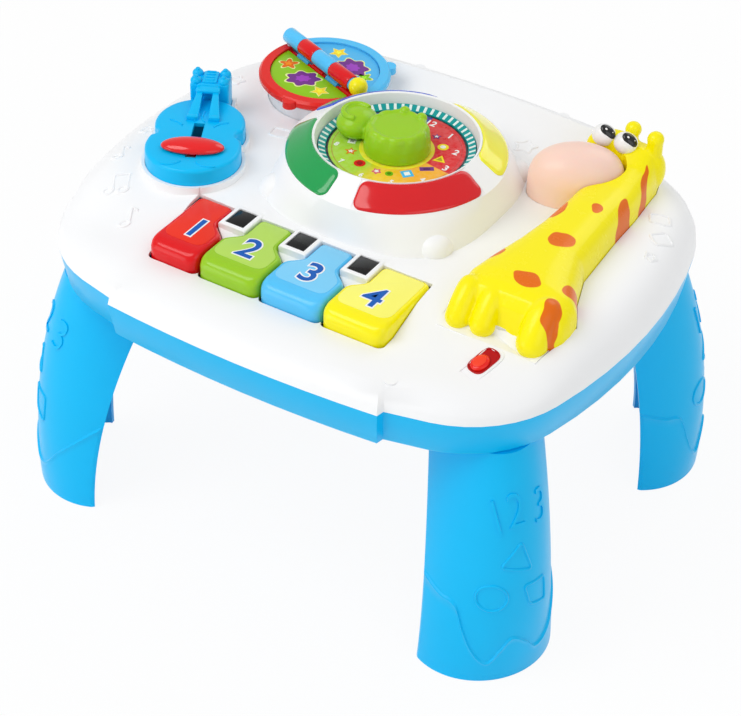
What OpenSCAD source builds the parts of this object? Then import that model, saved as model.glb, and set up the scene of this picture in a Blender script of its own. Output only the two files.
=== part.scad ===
// Musical activity table for a small child: a domed white top on a blue tray,
// four plug-in legs, a keyboard, a drum, a sliding guitar bar, a clock dial
// with a turning knob and a giraffe whose snout is a button.
// The table stands on z = 0, x runs along its long side and y points away from the keyboard.

/* [Table] */
// Overall width of the table
table_w = 360; // [345:1:380]
// Overall depth of the table, without the apron's bulge
table_d = 302; // [296:1:318]
// Radius of the four plan corners
corner_r = 71.7; // [66:0.1:76]
// How far the two side edges bow out
side_bulge = 8.9; // [7:0.1:11]
// How far the front and back edges bow out
front_bulge = 13.1; // [11:0.1:15]
// Half width of the raised apron on the front and back edges
apron_x = 91; // [86:0.5:95]
// How far the apron stands out at its middle
apron_out = 0.3; // [0.2:0.1:1]
// How far the apron's edge falls back at 100 mm from its middle
apron_sag = 5.6; // [5:0.1:6.5]
// Height of the blue tray's underside above the floor
tray_z = 150; // [140:1:165]
// Height of the blue band
band_h = 24; // [22:0.5:28]
// Rise of the white deck above the blue band
dome_h = 26; // [25:0.5:28]
// Width of the deck's rounded edge
edge_w = 28; // [24:1:32]
// Wall thickness of the two housing shells
wall = 2.5; // [2:0.1:3]
// Drop of the deck in front of the keyboard
front_drop = 13; // [11:0.5:14]
// Rise of the ridge along the back edge
ridge_h = 9; // [6:0.5:11]

/* [Legs] */
// Distance of a foot's chord from the table's middle, left to right
foot_x = 138.5; // [134:0.5:141]
// Distance of a foot's chord from the table's middle, front to back
foot_y = 101.4; // [98:0.1:104]
// Half width of a foot
foot_half = 42.5; // [40:0.5:45]
// Depth of a foot's outward bow
foot_bow = 39.3; // [36:0.1:41]
// Wall of a leg
leg_wall = 3; // [2.5:0.1:3.6]
// Outer radius of a leg's plug
plug_r = 10; // [8:0.5:12]
// Height of a leg's plug inside the tray
plug_h = 14; // [10:0.5:17]

/* [Keys] */
// Distance from key to key
key_pitch = 42.1; // [41:0.1:43]
// Width of the outer left key
first_key_w = 34.5; // [32:0.5:38]
// Width of the outer right key
last_key_w = 41.5; // [38:0.5:43]
// Place of the gap between the first two keys
first_gap_x = -55.2; // [-58:0.1:-53]
// Gap between two neighbouring keys
key_gap = 0.8; // [0.6:0.1:1.2]
// Clearance between a key and the edge of its opening
key_clear = 0.6; // [0.4:0.1:0.9]
// Place of the keys' back edge
key_back_y = -56.5; // [-58:0.1:-55]
// Length of a key in front of its back edge
key_len = 53.5; // [50:0.5:56]
// Height of a key cap
key_h = 16; // [14:0.5:17]
// Half width of a post between two keys
post_half = 9.2; // [8.5:0.1:10]
// Width of a black insert
insert_w = 12.3; // [11:0.1:13]
// Length of a black insert
insert_l = 15.2; // [14:0.1:16]
// Radius of the keys' hinge rod
rod_r = 2; // [1.6:0.1:2.4]
// Radial play of a turning fit
run_play = 0.05; // [0.03:0.01:0.08]

/* [Dial] */
// Place of the dial behind the table's middle
dial_y = 19; // [17:0.5:21]
// Half width of the pedestal's base
pedestal_half = 70.5; // [69:0.5:71.5]
// Radius of the dial well at its rim
well_r = 49; // [48.5:0.1:50]
// Width of the band of ticks round the printed face
tick_w = 7; // [6:0.5:8]
// Height of the pedestal above the deck
pedestal_h = 33; // [31:0.5:35]
// Base radius of the turning knob
knob_r = 20; // [18:0.5:22]
// Height of the turning knob
knob_h = 17; // [15:0.5:19]
// Radius of the knob's shaft
shaft_r = 3; // [2.5:0.1:3.5]
// Angle that one lens spans
lens_span = 74; // [68:1:78]

/* [Drum] */
// Direction of the drum from the dial
drum_dir = 146; // [145:0.1:148]
// Clearance between the drum and the dial's lenses
drum_clear = 0.9; // [0.7:0.1:2]
// Direction of the stick that lies across the drum
drum_turn = -23; // [-26:1:-20]
// Radius of the drum head
drum_r = 41.5; // [40:0.1:42]
// Height of the drum head above the deck
drum_h = 17.5; // [16.5:0.5:19]
// Radius of the stick
stick_r = 5.2; // [4.8:0.1:5.6]

/* [Guitar] */
// Place of the guitar's lower bout, left to right
guitar_x = -110.8; // [-113:0.1:-109]
// Place of the guitar's lower bout, front to back
guitar_y = -33.5; // [-35:0.1:-32]
// Turn of the guitar's neck from straight back
guitar_turn = 27; // [24:1:30]
// Radius of the lower bout
bout_r = 29; // [27:0.5:30]
// Height of the guitar above the deck
guitar_h = 15; // [13:0.5:17]
// Half length of the red bar
bar_half = 19.2; // [17:0.1:20]
// Width of the slot that the bar runs in
slot_w = 6.5; // [5.5:0.1:7.5]
// Length of the slot that the bar runs in
slot_l = 38; // [37:0.5:40]

/* [Giraffe] */
// Place of the giraffe's body, left to right
giraffe_x = 120; // [118:0.5:121]
// Height of the giraffe's back above the deck
giraffe_h = 20; // [18:0.5:22]
// Place of the snout button, left to right
snout_x = 94; // [93:0.5:95]
// Place of the snout button, front to back
snout_y = 70; // [69:0.5:71]
// Half length of the snout button
snout_half = 29; // [27:0.5:30]
// Half width of the snout button
snout_wide = 20; // [18:0.5:21]
// Height of the snout button above the deck
snout_h = 26; // [24:0.5:28]
// Travel of the snout button
snout_travel = 2.5; // [2:0.1:3]

/* [Inside] */
// Thickness of the circuit boards
board_t = 1.6; // [1.2:0.1:2]
// Radius of the loudspeaker
speaker_r = 25; // [22:0.5:27]
// Length of a battery
cell_l = 50.5; // [49:0.1:52]
// Radius of a battery
cell_r = 7.2; // [7:0.1:7.4]
// Clearance between fixed pieces
fit_gap = 0.3; // [0.2:0.05:0.4]

/* [Hidden] */
$fn = 48;
eps = 0.01;
half_w = table_w / 2;
half_d = table_d / 2;
corner_x = half_w - corner_r - side_bulge;
corner_y = half_d - corner_r - front_bulge;
side_r = (pow(half_w - corner_x, 2) + pow(corner_y, 2) - pow(corner_r, 2)) / (2 * side_bulge);
front_r = (pow(half_d - corner_y, 2) + pow(corner_x, 2) - pow(corner_r, 2)) / (2 * front_bulge);
side_a = atan2(corner_y, corner_x + side_r - half_w);
front_a = atan2(corner_x, corner_y + front_r - half_d);
seam_z = tray_z + band_h;
deck_z = seam_z + dome_h;
floor_z = tray_z + wall;
band_taper = 0.98;
slope_y = 56;
slope_len = 50;
ridge_y = 114;
ridge_len = 16;
white = "#f4f5f6";
blue = "#2fb4ee";
red = "#e01020";
yellow = "#ffe600";
green = "#8fce22";

// ---- outline and skins ----

function ramp(t) = let(c = min(1, max(0, t))) c * c * (3 - 2 * c);

// One quarter of the plan outline, from the right side round to the middle of the back
quarter = concat(
    [for (i = [0:3]) let(t = side_a * i / 4) [half_w - side_r + side_r * cos(t), side_r * sin(t)]],
    [for (i = [0:8]) let(t = side_a + (90 - front_a - side_a) * i / 8)
        [corner_x + corner_r * cos(t), corner_y + corner_r * sin(t)]],
    [[apron_x + 1, half_d - front_r + sqrt(pow(front_r, 2) - pow(apron_x + 1, 2))]],
    [for (i = [0:4]) let(x = apron_x * (1 - i / 4))
        [x, half_d + apron_out - apron_sag * pow(x / 100, 2)]]);
q_last = len(quarter) - 1;
half_line = concat(quarter, [for (i = [q_last - 1:-1:0]) [-quarter[i].x, quarter[i].y]]);
outline = concat(half_line, [for (i = [len(half_line) - 2:-1:1]) [half_line[i].x, -half_line[i].y]]);

function inset_xy(p, d) = [p.x * (half_w - d) / half_w, p.y * (half_d - d) / half_d];
function flat_ring(d, z) = [for (p = outline) let(q = inset_xy(p, d)) [q.x, q.y, z]];

// Height of the deck over the seam at a place whose plain rise is h
function rise(x, y, h) = h
    - front_drop * ramp((-y - slope_y) / slope_len) * h / dome_h
    + ridge_h * ramp((y - ridge_y) / ridge_len) * ramp((apron_x + 12 - abs(x)) / 14) * h / dome_h;
function dome_ring(d, h, down) = [for (p = outline) let(q = inset_xy(p, d))
    [q.x, q.y, seam_z + rise(q.x, q.y, h) - down]];

// A closed solid through a stack of rings; strips close its two ends
module skin(rings, loop = false) {
    n = len(rings[0]);
    m = len(rings);
    last = (m - 1) * n;
    sides = [for (j = [0:m - (loop ? 1 : 2)]) for (i = [0:n - 1])
        let(a = j * n + i, b = j * n + (i + 1) % n, k = (j + 1) % m,
            c = k * n + (i + 1) % n, d = k * n + i) each [[a, c, b], [a, d, c]]];
    ends = loop ? [] : [for (i = [0:n / 2 - 2])
        each [[i, i + 1, n - 2 - i], [i, n - 2 - i, n - 1 - i],
            [last + i, last + n - 2 - i, last + i + 1], [last + i, last + n - 1 - i, last + n - 2 - i]]];
    polyhedron([for (r = rings) each r], concat(sides, ends));
}

function oval_ring(a, b, z, n = 32) = [for (i = [0:n - 1]) let(t = 360 * (i + 0.5) / n)
    [a * cos(t), b * sin(t), z]];
function arc_pts(x, y, r, a0, a1, n) = [for (i = [0:n]) let(t = a0 + (a1 - a0) * i / n)
    [x + r * cos(t), y + r * sin(t)]];

module block(x0, x1, y0, y1, z0, z1) {
    translate([x0, y0, z0]) cube([x1 - x0, y1 - y0, z1 - z0]);
}
module post(x, y, r, z0, z1) {
    translate([x, y, z0]) cylinder(r = r, h = z1 - z0);
}

// ---- housing ----

screw_r = 1.5;
boss_r = 4;
boss_rise = dome_h - 1.5;
boss_x = half_w - 25;
boss_front = 23 - half_d;
boss_back = half_d - 19;
boss_pts = [[-boss_x, 0], [boss_x, 0], [-70, boss_front], [88, boss_front], [-52, boss_back], [52, boss_back]];
grille_n = 7;
light_post_r = 3;
light_post_reach = 24;
light_board_z = deck_z + 8;
main_board_z = floor_z + 6;
main_board = [-66, 66, -43, -13];
bracket_z = seam_z;
speaker_at = [104, 30];
battery_at = [0, 92];
bay_w = 3 * 2 * cell_r + 10;
bay_l = cell_l + 12;
door_lip = 3;

module base_shell() {
    color(blue) difference() {
        union() {
            skin([flat_ring(half_w * 0.5, tray_z), flat_ring(half_w * (1 - band_taper) + 1.5, tray_z),
                flat_ring(half_w * (1 - band_taper), tray_z + 2), flat_ring(0, seam_z),
                flat_ring(wall, seam_z), flat_ring(wall + 3, floor_z), flat_ring(half_w * 0.5, floor_z)]);
            for (p = boss_pts) post(p.x, p.y, boss_r, floor_z - eps, seam_z - 4);
            for (sx = [-1, 1]) for (sy = [-1, 1])
                post(sx * light_post_reach, dial_y + sy * light_post_reach, light_post_r,
                    floor_z - eps, light_board_z);
            for (x = [main_board[0] + 5, main_board[1] - 5])
                post(x, (main_board[2] + main_board[3]) / 2, 3, floor_z - eps, main_board_z);
        }
        for (p = boss_pts) post(p.x, p.y, screw_r + fit_gap, tray_z - 1, seam_z);
        for (sx = [-1, 1]) for (sy = [-1, 1])
            post(sx * plug_at.x, sy * plug_at.y, plug_r + fit_gap, tray_z - 1, floor_z + 1);
        translate([battery_at.x, battery_at.y, 0])
            block(-bay_w / 2, bay_w / 2, -bay_l / 2, bay_l / 2, tray_z - 1, floor_z + 1);
        for (i = [0:grille_n - 1])
            translate([speaker_at.x - 18 + 6 * i, speaker_at.y, 0]) block(-1.2, 1.2, -12, 12, tray_z - 1, floor_z + 1);
    }
}

deck_t = [0, 15, 30, 45, 60, 75, 90];
deck_flats = [46, 70, 98];

module top_shell() {
    color(white) difference() {
        union() {
            skin(concat(
                [for (i = [2:-1:0]) dome_ring(deck_flats[i], dome_h, wall)],
                [for (t = [90, 60, 30]) dome_ring(edge_w * (1 - cos(t)) + wall * cos(t),
                    dome_h * pow(sin(t), 0.9), wall * sin(t))],
                [flat_ring(wall, seam_z)],
                [for (t = deck_t) dome_ring(edge_w * (1 - cos(t)), dome_h * pow(sin(t), 0.9), 0)],
                [for (d = deck_flats) dome_ring(d, dome_h, 0)]));
            at_guitar() translate([0, 0, deck_z - wall + 0.1]) linear_extrude(collar_h + wall - 0.1)
                guitar_plan(collar_w);
            for (k = [0:2]) key_post(first_gap_x + key_pitch * k);
            for (p = boss_pts) difference() {
                post(p.x, p.y, boss_r, seam_z - 4 + fit_gap, seam_z + rise(p.x, p.y, boss_rise) - 0.8);
                post(p.x, p.y, screw_r, seam_z - 5, seam_z + 9);
            }
        }
        for (k = [0:3]) translate([0, 0, seam_z - 5])
            linear_extrude(60) polygon(key_line(k, key_clear, 0));
        for (k = [0:2]) insert_block(k, fit_gap, deck_z - 9, deck_z + 1);
        post(0, dial_y, well_r - 5, seam_z, deck_z + 1);
        post(drum_x, drum_y, drum_base_r + fit_gap, seam_z, deck_z + 9);
        at_guitar() translate([0, 0, seam_z]) linear_extrude(60) guitar_plan(fit_gap);
        translate([0, 0, seam_z]) linear_extrude(60) polygon(giraffe_plan(fit_gap));
        at_snout() translate([0, 0, seam_z]) linear_extrude(60)
            polygon([for (p = oval_ring(snout_half + fit_gap, snout_wide + fit_gap, 0)) [p.x, p.y]]);
        at_switch() block(-switch_l / 2 - fit_gap, switch_l / 2 + fit_gap, -switch_w / 2 - fit_gap,
            switch_w / 2 + fit_gap, -12, 12);
    }
}

module key_post(x) {
    block(x - post_half, x + post_half, key_back_y - insert_l - 2, key_back_y + 5, deck_z - 5, deck_z - 1);
}
module insert_block(k, c, z0, z1) {
    x = first_gap_x + key_pitch * k;
    block(x - insert_w / 2 - c, x + insert_w / 2 + c, key_back_y - insert_l + 1 - c,
        key_back_y + 1 + c, z0, z1);
}

module case_screws() {
    color("silver") for (p = boss_pts) {
        post(p.x, p.y, screw_r - eps, tray_z - eps, seam_z + 8);
        post(p.x, p.y, screw_r + 1.2, tray_z - 1.5, tray_z);
    }
}

// ---- legs ----

leg_dir = 29;
leg_top = [116.5, 73];
leg_top_dir = 45.5;
leg_top_half = 31;
leg_top_bow = 51.5;
leg_steps = 10;
plug_at = leg_top + 0.4 * leg_top_bow * [cos(leg_top_dir), sin(leg_top_dir)];

// A point of the leg's section: s runs along its bow, t up its height, off is the depth in its wall
function leg_pt(s, t, off) =
    let(f = pow(t, 1.9), a = leg_dir + (leg_top_dir - leg_dir) * f, out = [cos(a), sin(a)],
        along = [-sin(a), cos(a)], half = foot_half + (leg_top_half - foot_half) * t - off,
        bow = foot_bow + (leg_top_bow - foot_bow) * t - off)
    [foot_x, foot_y] * (1 - f) + leg_top * f + out * bow * cos(90 * s) + along * half * sin(90 * s);
function leg_ring(t) = [
    for (i = [-8:8]) let(p = leg_pt(i / 8, t, 0)) [p.x, p.y, tray_z * t],
    for (i = [8:-1:-8]) let(p = leg_pt(i / 8, t, leg_wall)) [p.x, p.y, tray_z * t]];

module leg() {
    color(blue) difference() {
        union() {
            skin([for (j = [0:leg_steps]) leg_ring(j / leg_steps)]);
            translate([0, 0, tray_z - 4]) linear_extrude(4)
                polygon([for (i = [-8:8]) leg_pt(i / 8, 0.985, leg_wall - 0.5)]);
            post(plug_at.x, plug_at.y, plug_r, tray_z - 1, tray_z + plug_h);
        }
        post(plug_at.x, plug_at.y, plug_r - 2.5, tray_z - 5, tray_z + plug_h - 2);
    }
}
module leg_back_right() { leg(); }
module leg_back_left() { mirror([1, 0, 0]) leg(); }
module leg_front_right() { mirror([0, 1, 0]) leg(); }
module leg_front_left() { rotate(180) leg(); }

// ---- keyboard ----

key_front_y = key_back_y - key_len;
hinge_y = key_back_y + 7.5;
hinge_z = deck_z - 10;
barrel_r = rod_r + 2;
key_top_z = deck_z - 1;
key_low_z = key_top_z - key_h;
plunger_y = key_back_y - 30;
key_colours = [red, green, "#5ec1f2", yellow];

function key_x0(k) = k == 0 ? first_gap_x - first_key_w : first_gap_x + key_pitch * (k - 1) + key_gap / 2;
function key_x1(k) = k == 3 ? first_gap_x + key_pitch * 2 + last_key_w : first_gap_x + key_pitch * k - key_gap / 2;
function key_mid(k) = (key_x0(k) + (k == 0 ? 0 : post_half) + key_x1(k) - (k == 3 ? 0 : post_half)) / 2;
// Plan of one key, grown by c all round and cut back by f at its front
function key_line(k, c, f) =
    let(x0 = key_x0(k) - c, x1 = key_x1(k) + c, yf = key_front_y - c + f, yb = key_back_y + c,
        n0 = k == 0 ? 0 : post_half + key_clear - key_gap / 2,
        n1 = k == 3 ? 0 : post_half + key_clear - key_gap / 2,
        yn = key_back_y - insert_l - 4.5, r = 4.5)
    concat(arc_pts(x0 + r, yf + r, r, 180, 270, 4), arc_pts(x1 - r, yf + r, r, 270, 360, 4),
        n1 > 0 ? [[x1, yn - 6 + c], [x1 - n1, yn + 2 + c]] : [], [[x1 - n1, yb], [x0 + n0, yb]],
        n0 > 0 ? [[x0 + n0, yn + 2 + c], [x0, yn - 6 + c]] : []);

module key(k) {
    x = key_mid(k);
    color(key_colours[k]) difference() {
        union() {
            difference() {
                union() {
                    key_layer(k, 0, 0, key_low_z, key_top_z - 6);
                    key_layer(k, -0.7, 2, key_top_z - 6, key_top_z - 3);
                    key_layer(k, -1.5, 4.5, key_top_z - 3, key_top_z - 1);
                    key_layer(k, -2.6, 8, key_top_z - 1, key_top_z);
                }
                key_layer(k, -2.4, 0, key_low_z - 1, key_top_z - 6);
            }
            post(x, plunger_y, 3, key_low_z + 0.5, key_top_z - 5);
            block(x - 5, x + 5, key_back_y - 4, hinge_y, hinge_z - 2.5, hinge_z + 2.5);
            translate([x - 5, hinge_y, hinge_z]) rotate([0, 90, 0]) cylinder(r = barrel_r, h = 10);
        }
        translate([x - 6, hinge_y, hinge_z]) rotate([0, 90, 0]) cylinder(r = rod_r + run_play, h = 12);
    }
}
module key_layer(k, c, f, z0, z1) {
    translate([0, 0, z0]) linear_extrude(z1 - z0) polygon(key_line(k, c, f));
}

module black_key_caps() {
    color("#101012") for (k = [0:2]) insert_block(k, 0, deck_z - 8, deck_z - 0.6);
}

bracket_x0 = first_gap_x - first_key_w - 1;
bracket_x1 = first_gap_x + 2 * key_pitch + last_key_w + 3;
module key_bracket() {
    color("#d8dadc") difference() {
        union() {
            block(bracket_x0, bracket_x1, key_front_y + 8, hinge_y + 5, bracket_z, bracket_z + 2);
            for (x = [bracket_x0 + 2, first_gap_x, first_gap_x + key_pitch, first_gap_x + 2 * key_pitch, bracket_x1 - 2])
                block(x - 1.5, x + 1.5, hinge_y - 5, hinge_y + 5, bracket_z + 2 - eps, hinge_z + 4);
            for (x = [bracket_x0 + 5, bracket_x1 - 5]) for (y = [key_front_y + 13, hinge_y])
                post(x, y, 4, floor_z, bracket_z + eps);
        }
        translate([bracket_x0 - 1, hinge_y, hinge_z]) rotate([0, 90, 0])
            cylinder(r = rod_r + run_play, h = bracket_x1 - bracket_x0 + 2);
    }
}
module key_hinge_rod() {
    color("silver") translate([bracket_x0, hinge_y, hinge_z]) rotate([0, 90, 0])
        cylinder(r = rod_r, h = bracket_x1 - bracket_x0);
}
module key_contact_strip() {
    color("#3a3d40") {
        block(bracket_x0 + 4, bracket_x1 - 4, plunger_y - 7, plunger_y + 7, bracket_z + 2, bracket_z + 3.2);
        for (k = [0:3]) post(key_mid(k), plunger_y, 4, bracket_z + 3, key_low_z + 0.5 - 2.6);
    }
}

// ---- clock dial ----

face_r = well_r - tick_w;
lens_in = [well_r + 1.6, pedestal_h - 1.6];
lens_out = [well_r + 17, pedestal_h - 11.5];
rim_side = 5.4;
seat_z = deck_z + pedestal_h - 10.5;

function square_r(a, half) = half / pow(pow(abs(cos(a)), 3) + pow(abs(sin(a)), 3), 1 / 3);
// How far out the pedestal may reach at angle a before it meets the drum, g beyond the drum's base
function drum_side(a, g) = let(c = [drum_x, drum_y - dial_y], b = c * [cos(a), sin(a)],
    q = pow(drum_r - 4.5 + g, 2) - c * c + b * b) q > 0 && b > 0 ? b - sqrt(q) : 200;
function pedestal_ring(half, round_r, k, z, g = 1.6) = [for (i = [0:63]) let(a = 360 * (i + 0.5) / 64,
    r = min(square_r(a, half) * (1 - k) + round_r * k, drum_side(a, g))) [r * cos(a), r * sin(a), z]];

module console_pedestal() {
    top = deck_z + pedestal_h;
    color(white) translate([0, dial_y, 0]) difference() {
        skin([pedestal_ring(pedestal_half, 0, 0, deck_z),
            pedestal_ring(pedestal_half - 1.5, lens_out[0] + 4, 0.25, deck_z + 6, rim_side),
            pedestal_ring(pedestal_half - 3.5, lens_out[0] + 3, 0.6, deck_z + 12, rim_side),
            pedestal_ring(0, lens_out[0] + 0.8, 1, deck_z + lens_out[1]),
            pedestal_ring(0, lens_in[0] + 0.8, 1, deck_z + lens_in[1] + 0.8),
            pedestal_ring(0, well_r + 1.2, 1, top),
            pedestal_ring(0, well_r, 1, top - 0.6),
            pedestal_ring(0, well_r - 1.5, 1, top - 6),
            pedestal_ring(0, well_r - 1.7, 1, seat_z),
            pedestal_ring(0, well_r - 10, 1, seat_z),
            pedestal_ring(0, well_r - 10, 1, seat_z - 2),
            pedestal_ring(0, well_r - 0.5, 1, seat_z - 2.2),
            pedestal_ring(pedestal_half - 7, well_r + 14, 0.7, deck_z + 11, rim_side + 3),
            pedestal_ring(pedestal_half - 3, 0, 0, deck_z, rim_side + 2.5)], loop = true);
        for (k = [0:3]) lens_solid(k, fit_gap);
    }
}

module lens_solid(k, c) {
    rotate(-45 + 90 * k - lens_span / 2 - c * 0.5)
        rotate_extrude(angle = lens_span + c, $fn = 96)
            polygon([[lens_in[0] - c, deck_z + lens_in[1] + 1.5 + c * 2], [lens_in[0] - c, deck_z + lens_in[1] - 1.2 - c],
                [lens_out[0] - 2 - c, deck_z + lens_out[1] - 1.4 - c], [lens_out[0] + 0.6 + c, deck_z + lens_out[1] + 0.9 + c]]);
}
module lens(k, c) { color(c) translate([0, dial_y, 0]) lens_solid(k, 0); }

module dial_face() {
    color("#f2b705") difference() {
        post(0, dial_y, face_r, seat_z, seat_z + 1.5);
        post(0, dial_y, shaft_r + 1, seat_z - 1, seat_z + 2);
    }
}
module tick_ring() {
    color("#12a5a5") translate([0, dial_y, 0]) rotate_extrude($fn = 96)
        polygon([[face_r + fit_gap, seat_z], [well_r - 2.2, seat_z], [well_r - 2.2, seat_z + 4],
            [face_r + fit_gap, seat_z + 2]]);
}

knob_z = seat_z + 1.5 + fit_gap;
head_r = 12.5;
head_reach = face_r - head_r - 0.5;
module dial_knob() {
    color(green) translate([0, dial_y, 0]) {
        translate([0, 0, knob_z]) rotate_extrude()
            polygon(concat([[0, 0], [knob_r, 0]],
                [for (t = [0:15:75]) [knob_r - 4 * sin(t) - 4 * (1 - cos(t)), 3 + (knob_h - 4) * sin(t)]],
                [[knob_r - 9, knob_h], [0, knob_h]]));
        for (i = [0:11]) rotate(30 * i) translate([knob_r - 8, 0, knob_z + knob_h - 3]) cylinder(r = 3, h = 4);
        rotate(176) translate([head_reach, 0, knob_z + 5]) rotate_extrude()
            polygon([[0, 0], [head_r - 1, 0], [head_r, 2], [head_r - 1, 5], [head_r - 4, 7.5], [0, 8.5]]);
        rotate(176) translate([knob_r - 8, -7, knob_z + 5]) cube([head_reach - knob_r + 6, 14, 6]);
        translate([0, 0, light_board_z + board_t + 2]) cylinder(r = shaft_r, h = knob_z - light_board_z);
    }
}
module dial_encoder() {
    color("#7d8288") difference() {
        post(0, dial_y, 8, light_board_z + board_t, seat_z - 3);
        post(0, dial_y, shaft_r + run_play, light_board_z + board_t + 1, seat_z);
    }
}
module light_board() {
    color("#1d7a45") post(0, dial_y, light_post_reach * sqrt(2) + light_post_r, light_board_z, light_board_z + board_t);
}
module light_diodes() {
    color("#f7f2d0") for (k = [0:3]) translate([0, dial_y, 0]) rotate(-45 + 90 * k)
        post(light_post_reach + 5, 0, 2.5, light_board_z + board_t, light_board_z + board_t + 4);
}

// ---- drum ----

drum_reach = lens_out[0] + 0.6 + drum_clear + drum_r;
drum_x = drum_reach * cos(drum_dir);
drum_y = dial_y + drum_reach * sin(drum_dir);
drum_top_z = deck_z + drum_h;
drum_base_r = drum_r - 6;
drum_base_z = drum_top_z - 8;
rim_w = 7;
rim_t = 5.5;
drum_pin_r = 1.5;
drum_pin_z = drum_top_z - 4.5;
drum_gap = 1.2;
ear_x = drum_r - 3.5;
ear_t = 2.5;
drum_wall = 2;
lug_a = 66;
drum_floor_z = deck_z - 4;

module at_drum() { translate([drum_x, drum_y, 0]) rotate(drum_turn) children(); }

module drum_pedestal() {
    color(white) at_drum() {
        rotate_extrude() polygon([[0, drum_floor_z], [drum_base_r, drum_floor_z],
            [drum_base_r, drum_base_z - 3], [drum_base_r + 1.5, drum_base_z], [drum_base_r + 1.5 - drum_wall, drum_base_z],
            [drum_base_r - drum_wall, drum_base_z - 3], [drum_base_r - drum_wall, drum_floor_z + 2], [0, drum_floor_z + 2]]);
        for (s = [-1, 1]) difference() {
            union() {
                block(s * ear_x - ear_t / 2, s * ear_x + ear_t / 2, -2.6, 2.6, drum_base_z - 4, drum_top_z);
                block(min(s * (drum_base_r - 1), s * ear_x), max(s * (drum_base_r - 1), s * ear_x), -2.6, 2.6,
                    drum_base_z - 4, drum_base_z);
            }
            translate([s * ear_x - ear_t, 0, drum_pin_z]) rotate([0, 90, 0])
                cylinder(r = drum_pin_r + run_play, h = 2 * ear_t);
        }
        post(0, 0, 6, floor_z, drum_floor_z + eps);
    }
}
module drum_board() {
    color("#1d7a45") at_drum() post(0, 0, drum_base_r - drum_wall - 1, drum_floor_z + 2, drum_floor_z + 2 + board_t);
}
module drum_domes() {
    color("#3a3d40") at_drum() for (s = [-1, 1])
        post(0, s * drum_r * 0.5, 4, drum_floor_z + 2 + board_t, drum_top_z - rim_t - 1.6);
}
module drum_hinge_rod() {
    color("silver") at_drum() translate([-ear_x - ear_t / 2, 0, drum_pin_z]) rotate([0, 90, 0])
        cylinder(r = drum_pin_r, h = 2 * ear_x + ear_t);
}

// One half of the drum head's rim, with its lug and its two hinge barrels
module half_rim(s) {
    at_drum() difference() {
        union() {
            intersection() {
                union() {
                    rotate_extrude($fn = 96) polygon([[drum_r - rim_w, drum_top_z - rim_t], [drum_r - 1, drum_top_z - rim_t],
                        [drum_r, drum_top_z - rim_t + 1.5], [drum_r, drum_top_z - 1.5], [drum_r - 1.5, drum_top_z],
                        [drum_r - rim_w, drum_top_z]]);
                    post(0, 0, drum_r - rim_w + eps, drum_top_z - rim_t, drum_top_z - 3);
                    rotate(s * lug_a) post(drum_r - 0.5, 0, 4.5, drum_top_z - rim_t, drum_top_z - 0.8);
                }
                block(-60, 60, s > 0 ? drum_gap : -60, s > 0 ? 60 : -drum_gap, deck_z, drum_top_z + 9);
            }
            for (x = s > 0 ? [-28, 4] : [-12, 20]) {
                translate([x, 0, drum_pin_z]) rotate([0, 90, 0]) cylinder(r = drum_pin_r + 1.5, h = 12);
                block(x, x + 12, s > 0 ? 0 : -6, s > 0 ? 6 : 0, drum_pin_z - 1, drum_pin_z + 1.5);
            }
        }
        translate([-50, 0, drum_pin_z]) rotate([0, 90, 0]) cylinder(r = drum_pin_r + run_play, h = 100);
        for (x = s > 0 ? [-12, 20] : [-28, 4])
            block(x - 0.6, x + 12.6, -4.2, 4.2, drum_pin_z - 5, drum_top_z - 0.5);
        for (e = [-1, 1]) block(e * ear_x - ear_t, e * ear_x + ear_t, -3.4, 3.4, deck_z, drum_top_z + 1);
    }
}
module half_skin(s) {
    at_drum() intersection() {
        post(0, 0, drum_r - rim_w - fit_gap, drum_top_z - 3, drum_top_z - 1.2);
        block(-60, 60, s > 0 ? 5 : -60, s > 0 ? 60 : -5, deck_z, drum_top_z + 9);
    }
}
module drum_left_rim() { color(red) half_rim(-1); }
module drum_right_rim() { color("#5ec1f2") half_rim(1); }
module drum_left_skin() { color(green) half_skin(-1); }
module drum_right_skin() { color("#8fd3f7") half_skin(1); }

stick_z = drum_top_z + stick_r;
stick_x0 = -drum_r + 1;
stick_x1 = drum_r - 4;
module stick_run(x0, x1, r) {
    at_drum() translate([x0, 0, stick_z]) rotate([0, 90, 0]) cylinder(r = r, h = x1 - x0);
}
module drumstick_shaft() {
    color("#5ec1f2") difference() {
        union() {
            stick_run(stick_x0, stick_x1, stick_r - 1);
            stick_run(stick_x0, -24, stick_r);
            stick_run(-8, 10, stick_r);
        }
        at_drum() block(-60, 60, -9, 9, drum_top_z - 9, drum_top_z + 0.02);
    }
}
module drumstick_bands() {
    color(red) for (x = [[-24 + fit_gap, -8 - fit_gap], [10 + fit_gap, stick_x1 - 7]]) difference() {
        stick_run(x[0], x[1], stick_r);
        stick_run(x[0] - 1, x[1] + 1, stick_r - 1 + run_play);
    }
}
module drumstick_tip() {
    color(yellow) difference() {
        at_drum() translate([stick_x1 - 1, 0, stick_z + 0.8]) sphere(r = stick_r + 0.8);
        stick_run(stick_x1 - 30, stick_x1 + eps, stick_r - 1 + run_play);
    }
}

// ---- guitar ----

guitar_top_z = deck_z + guitar_h;
guitar_low_z = deck_z - 5;
upper_v = 26;
slot_v0 = -14;
bar_v = -4.8;
head_v0 = 54;
head_v1 = 70;
head_half = 12;
head_u = 2;
neck_half = 10.3;
collar_w = 2.3;
collar_h = 4.5;
head_rise = 11;

module at_guitar() { translate([guitar_x, guitar_y, 0]) rotate(guitar_turn) children(); }

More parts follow.
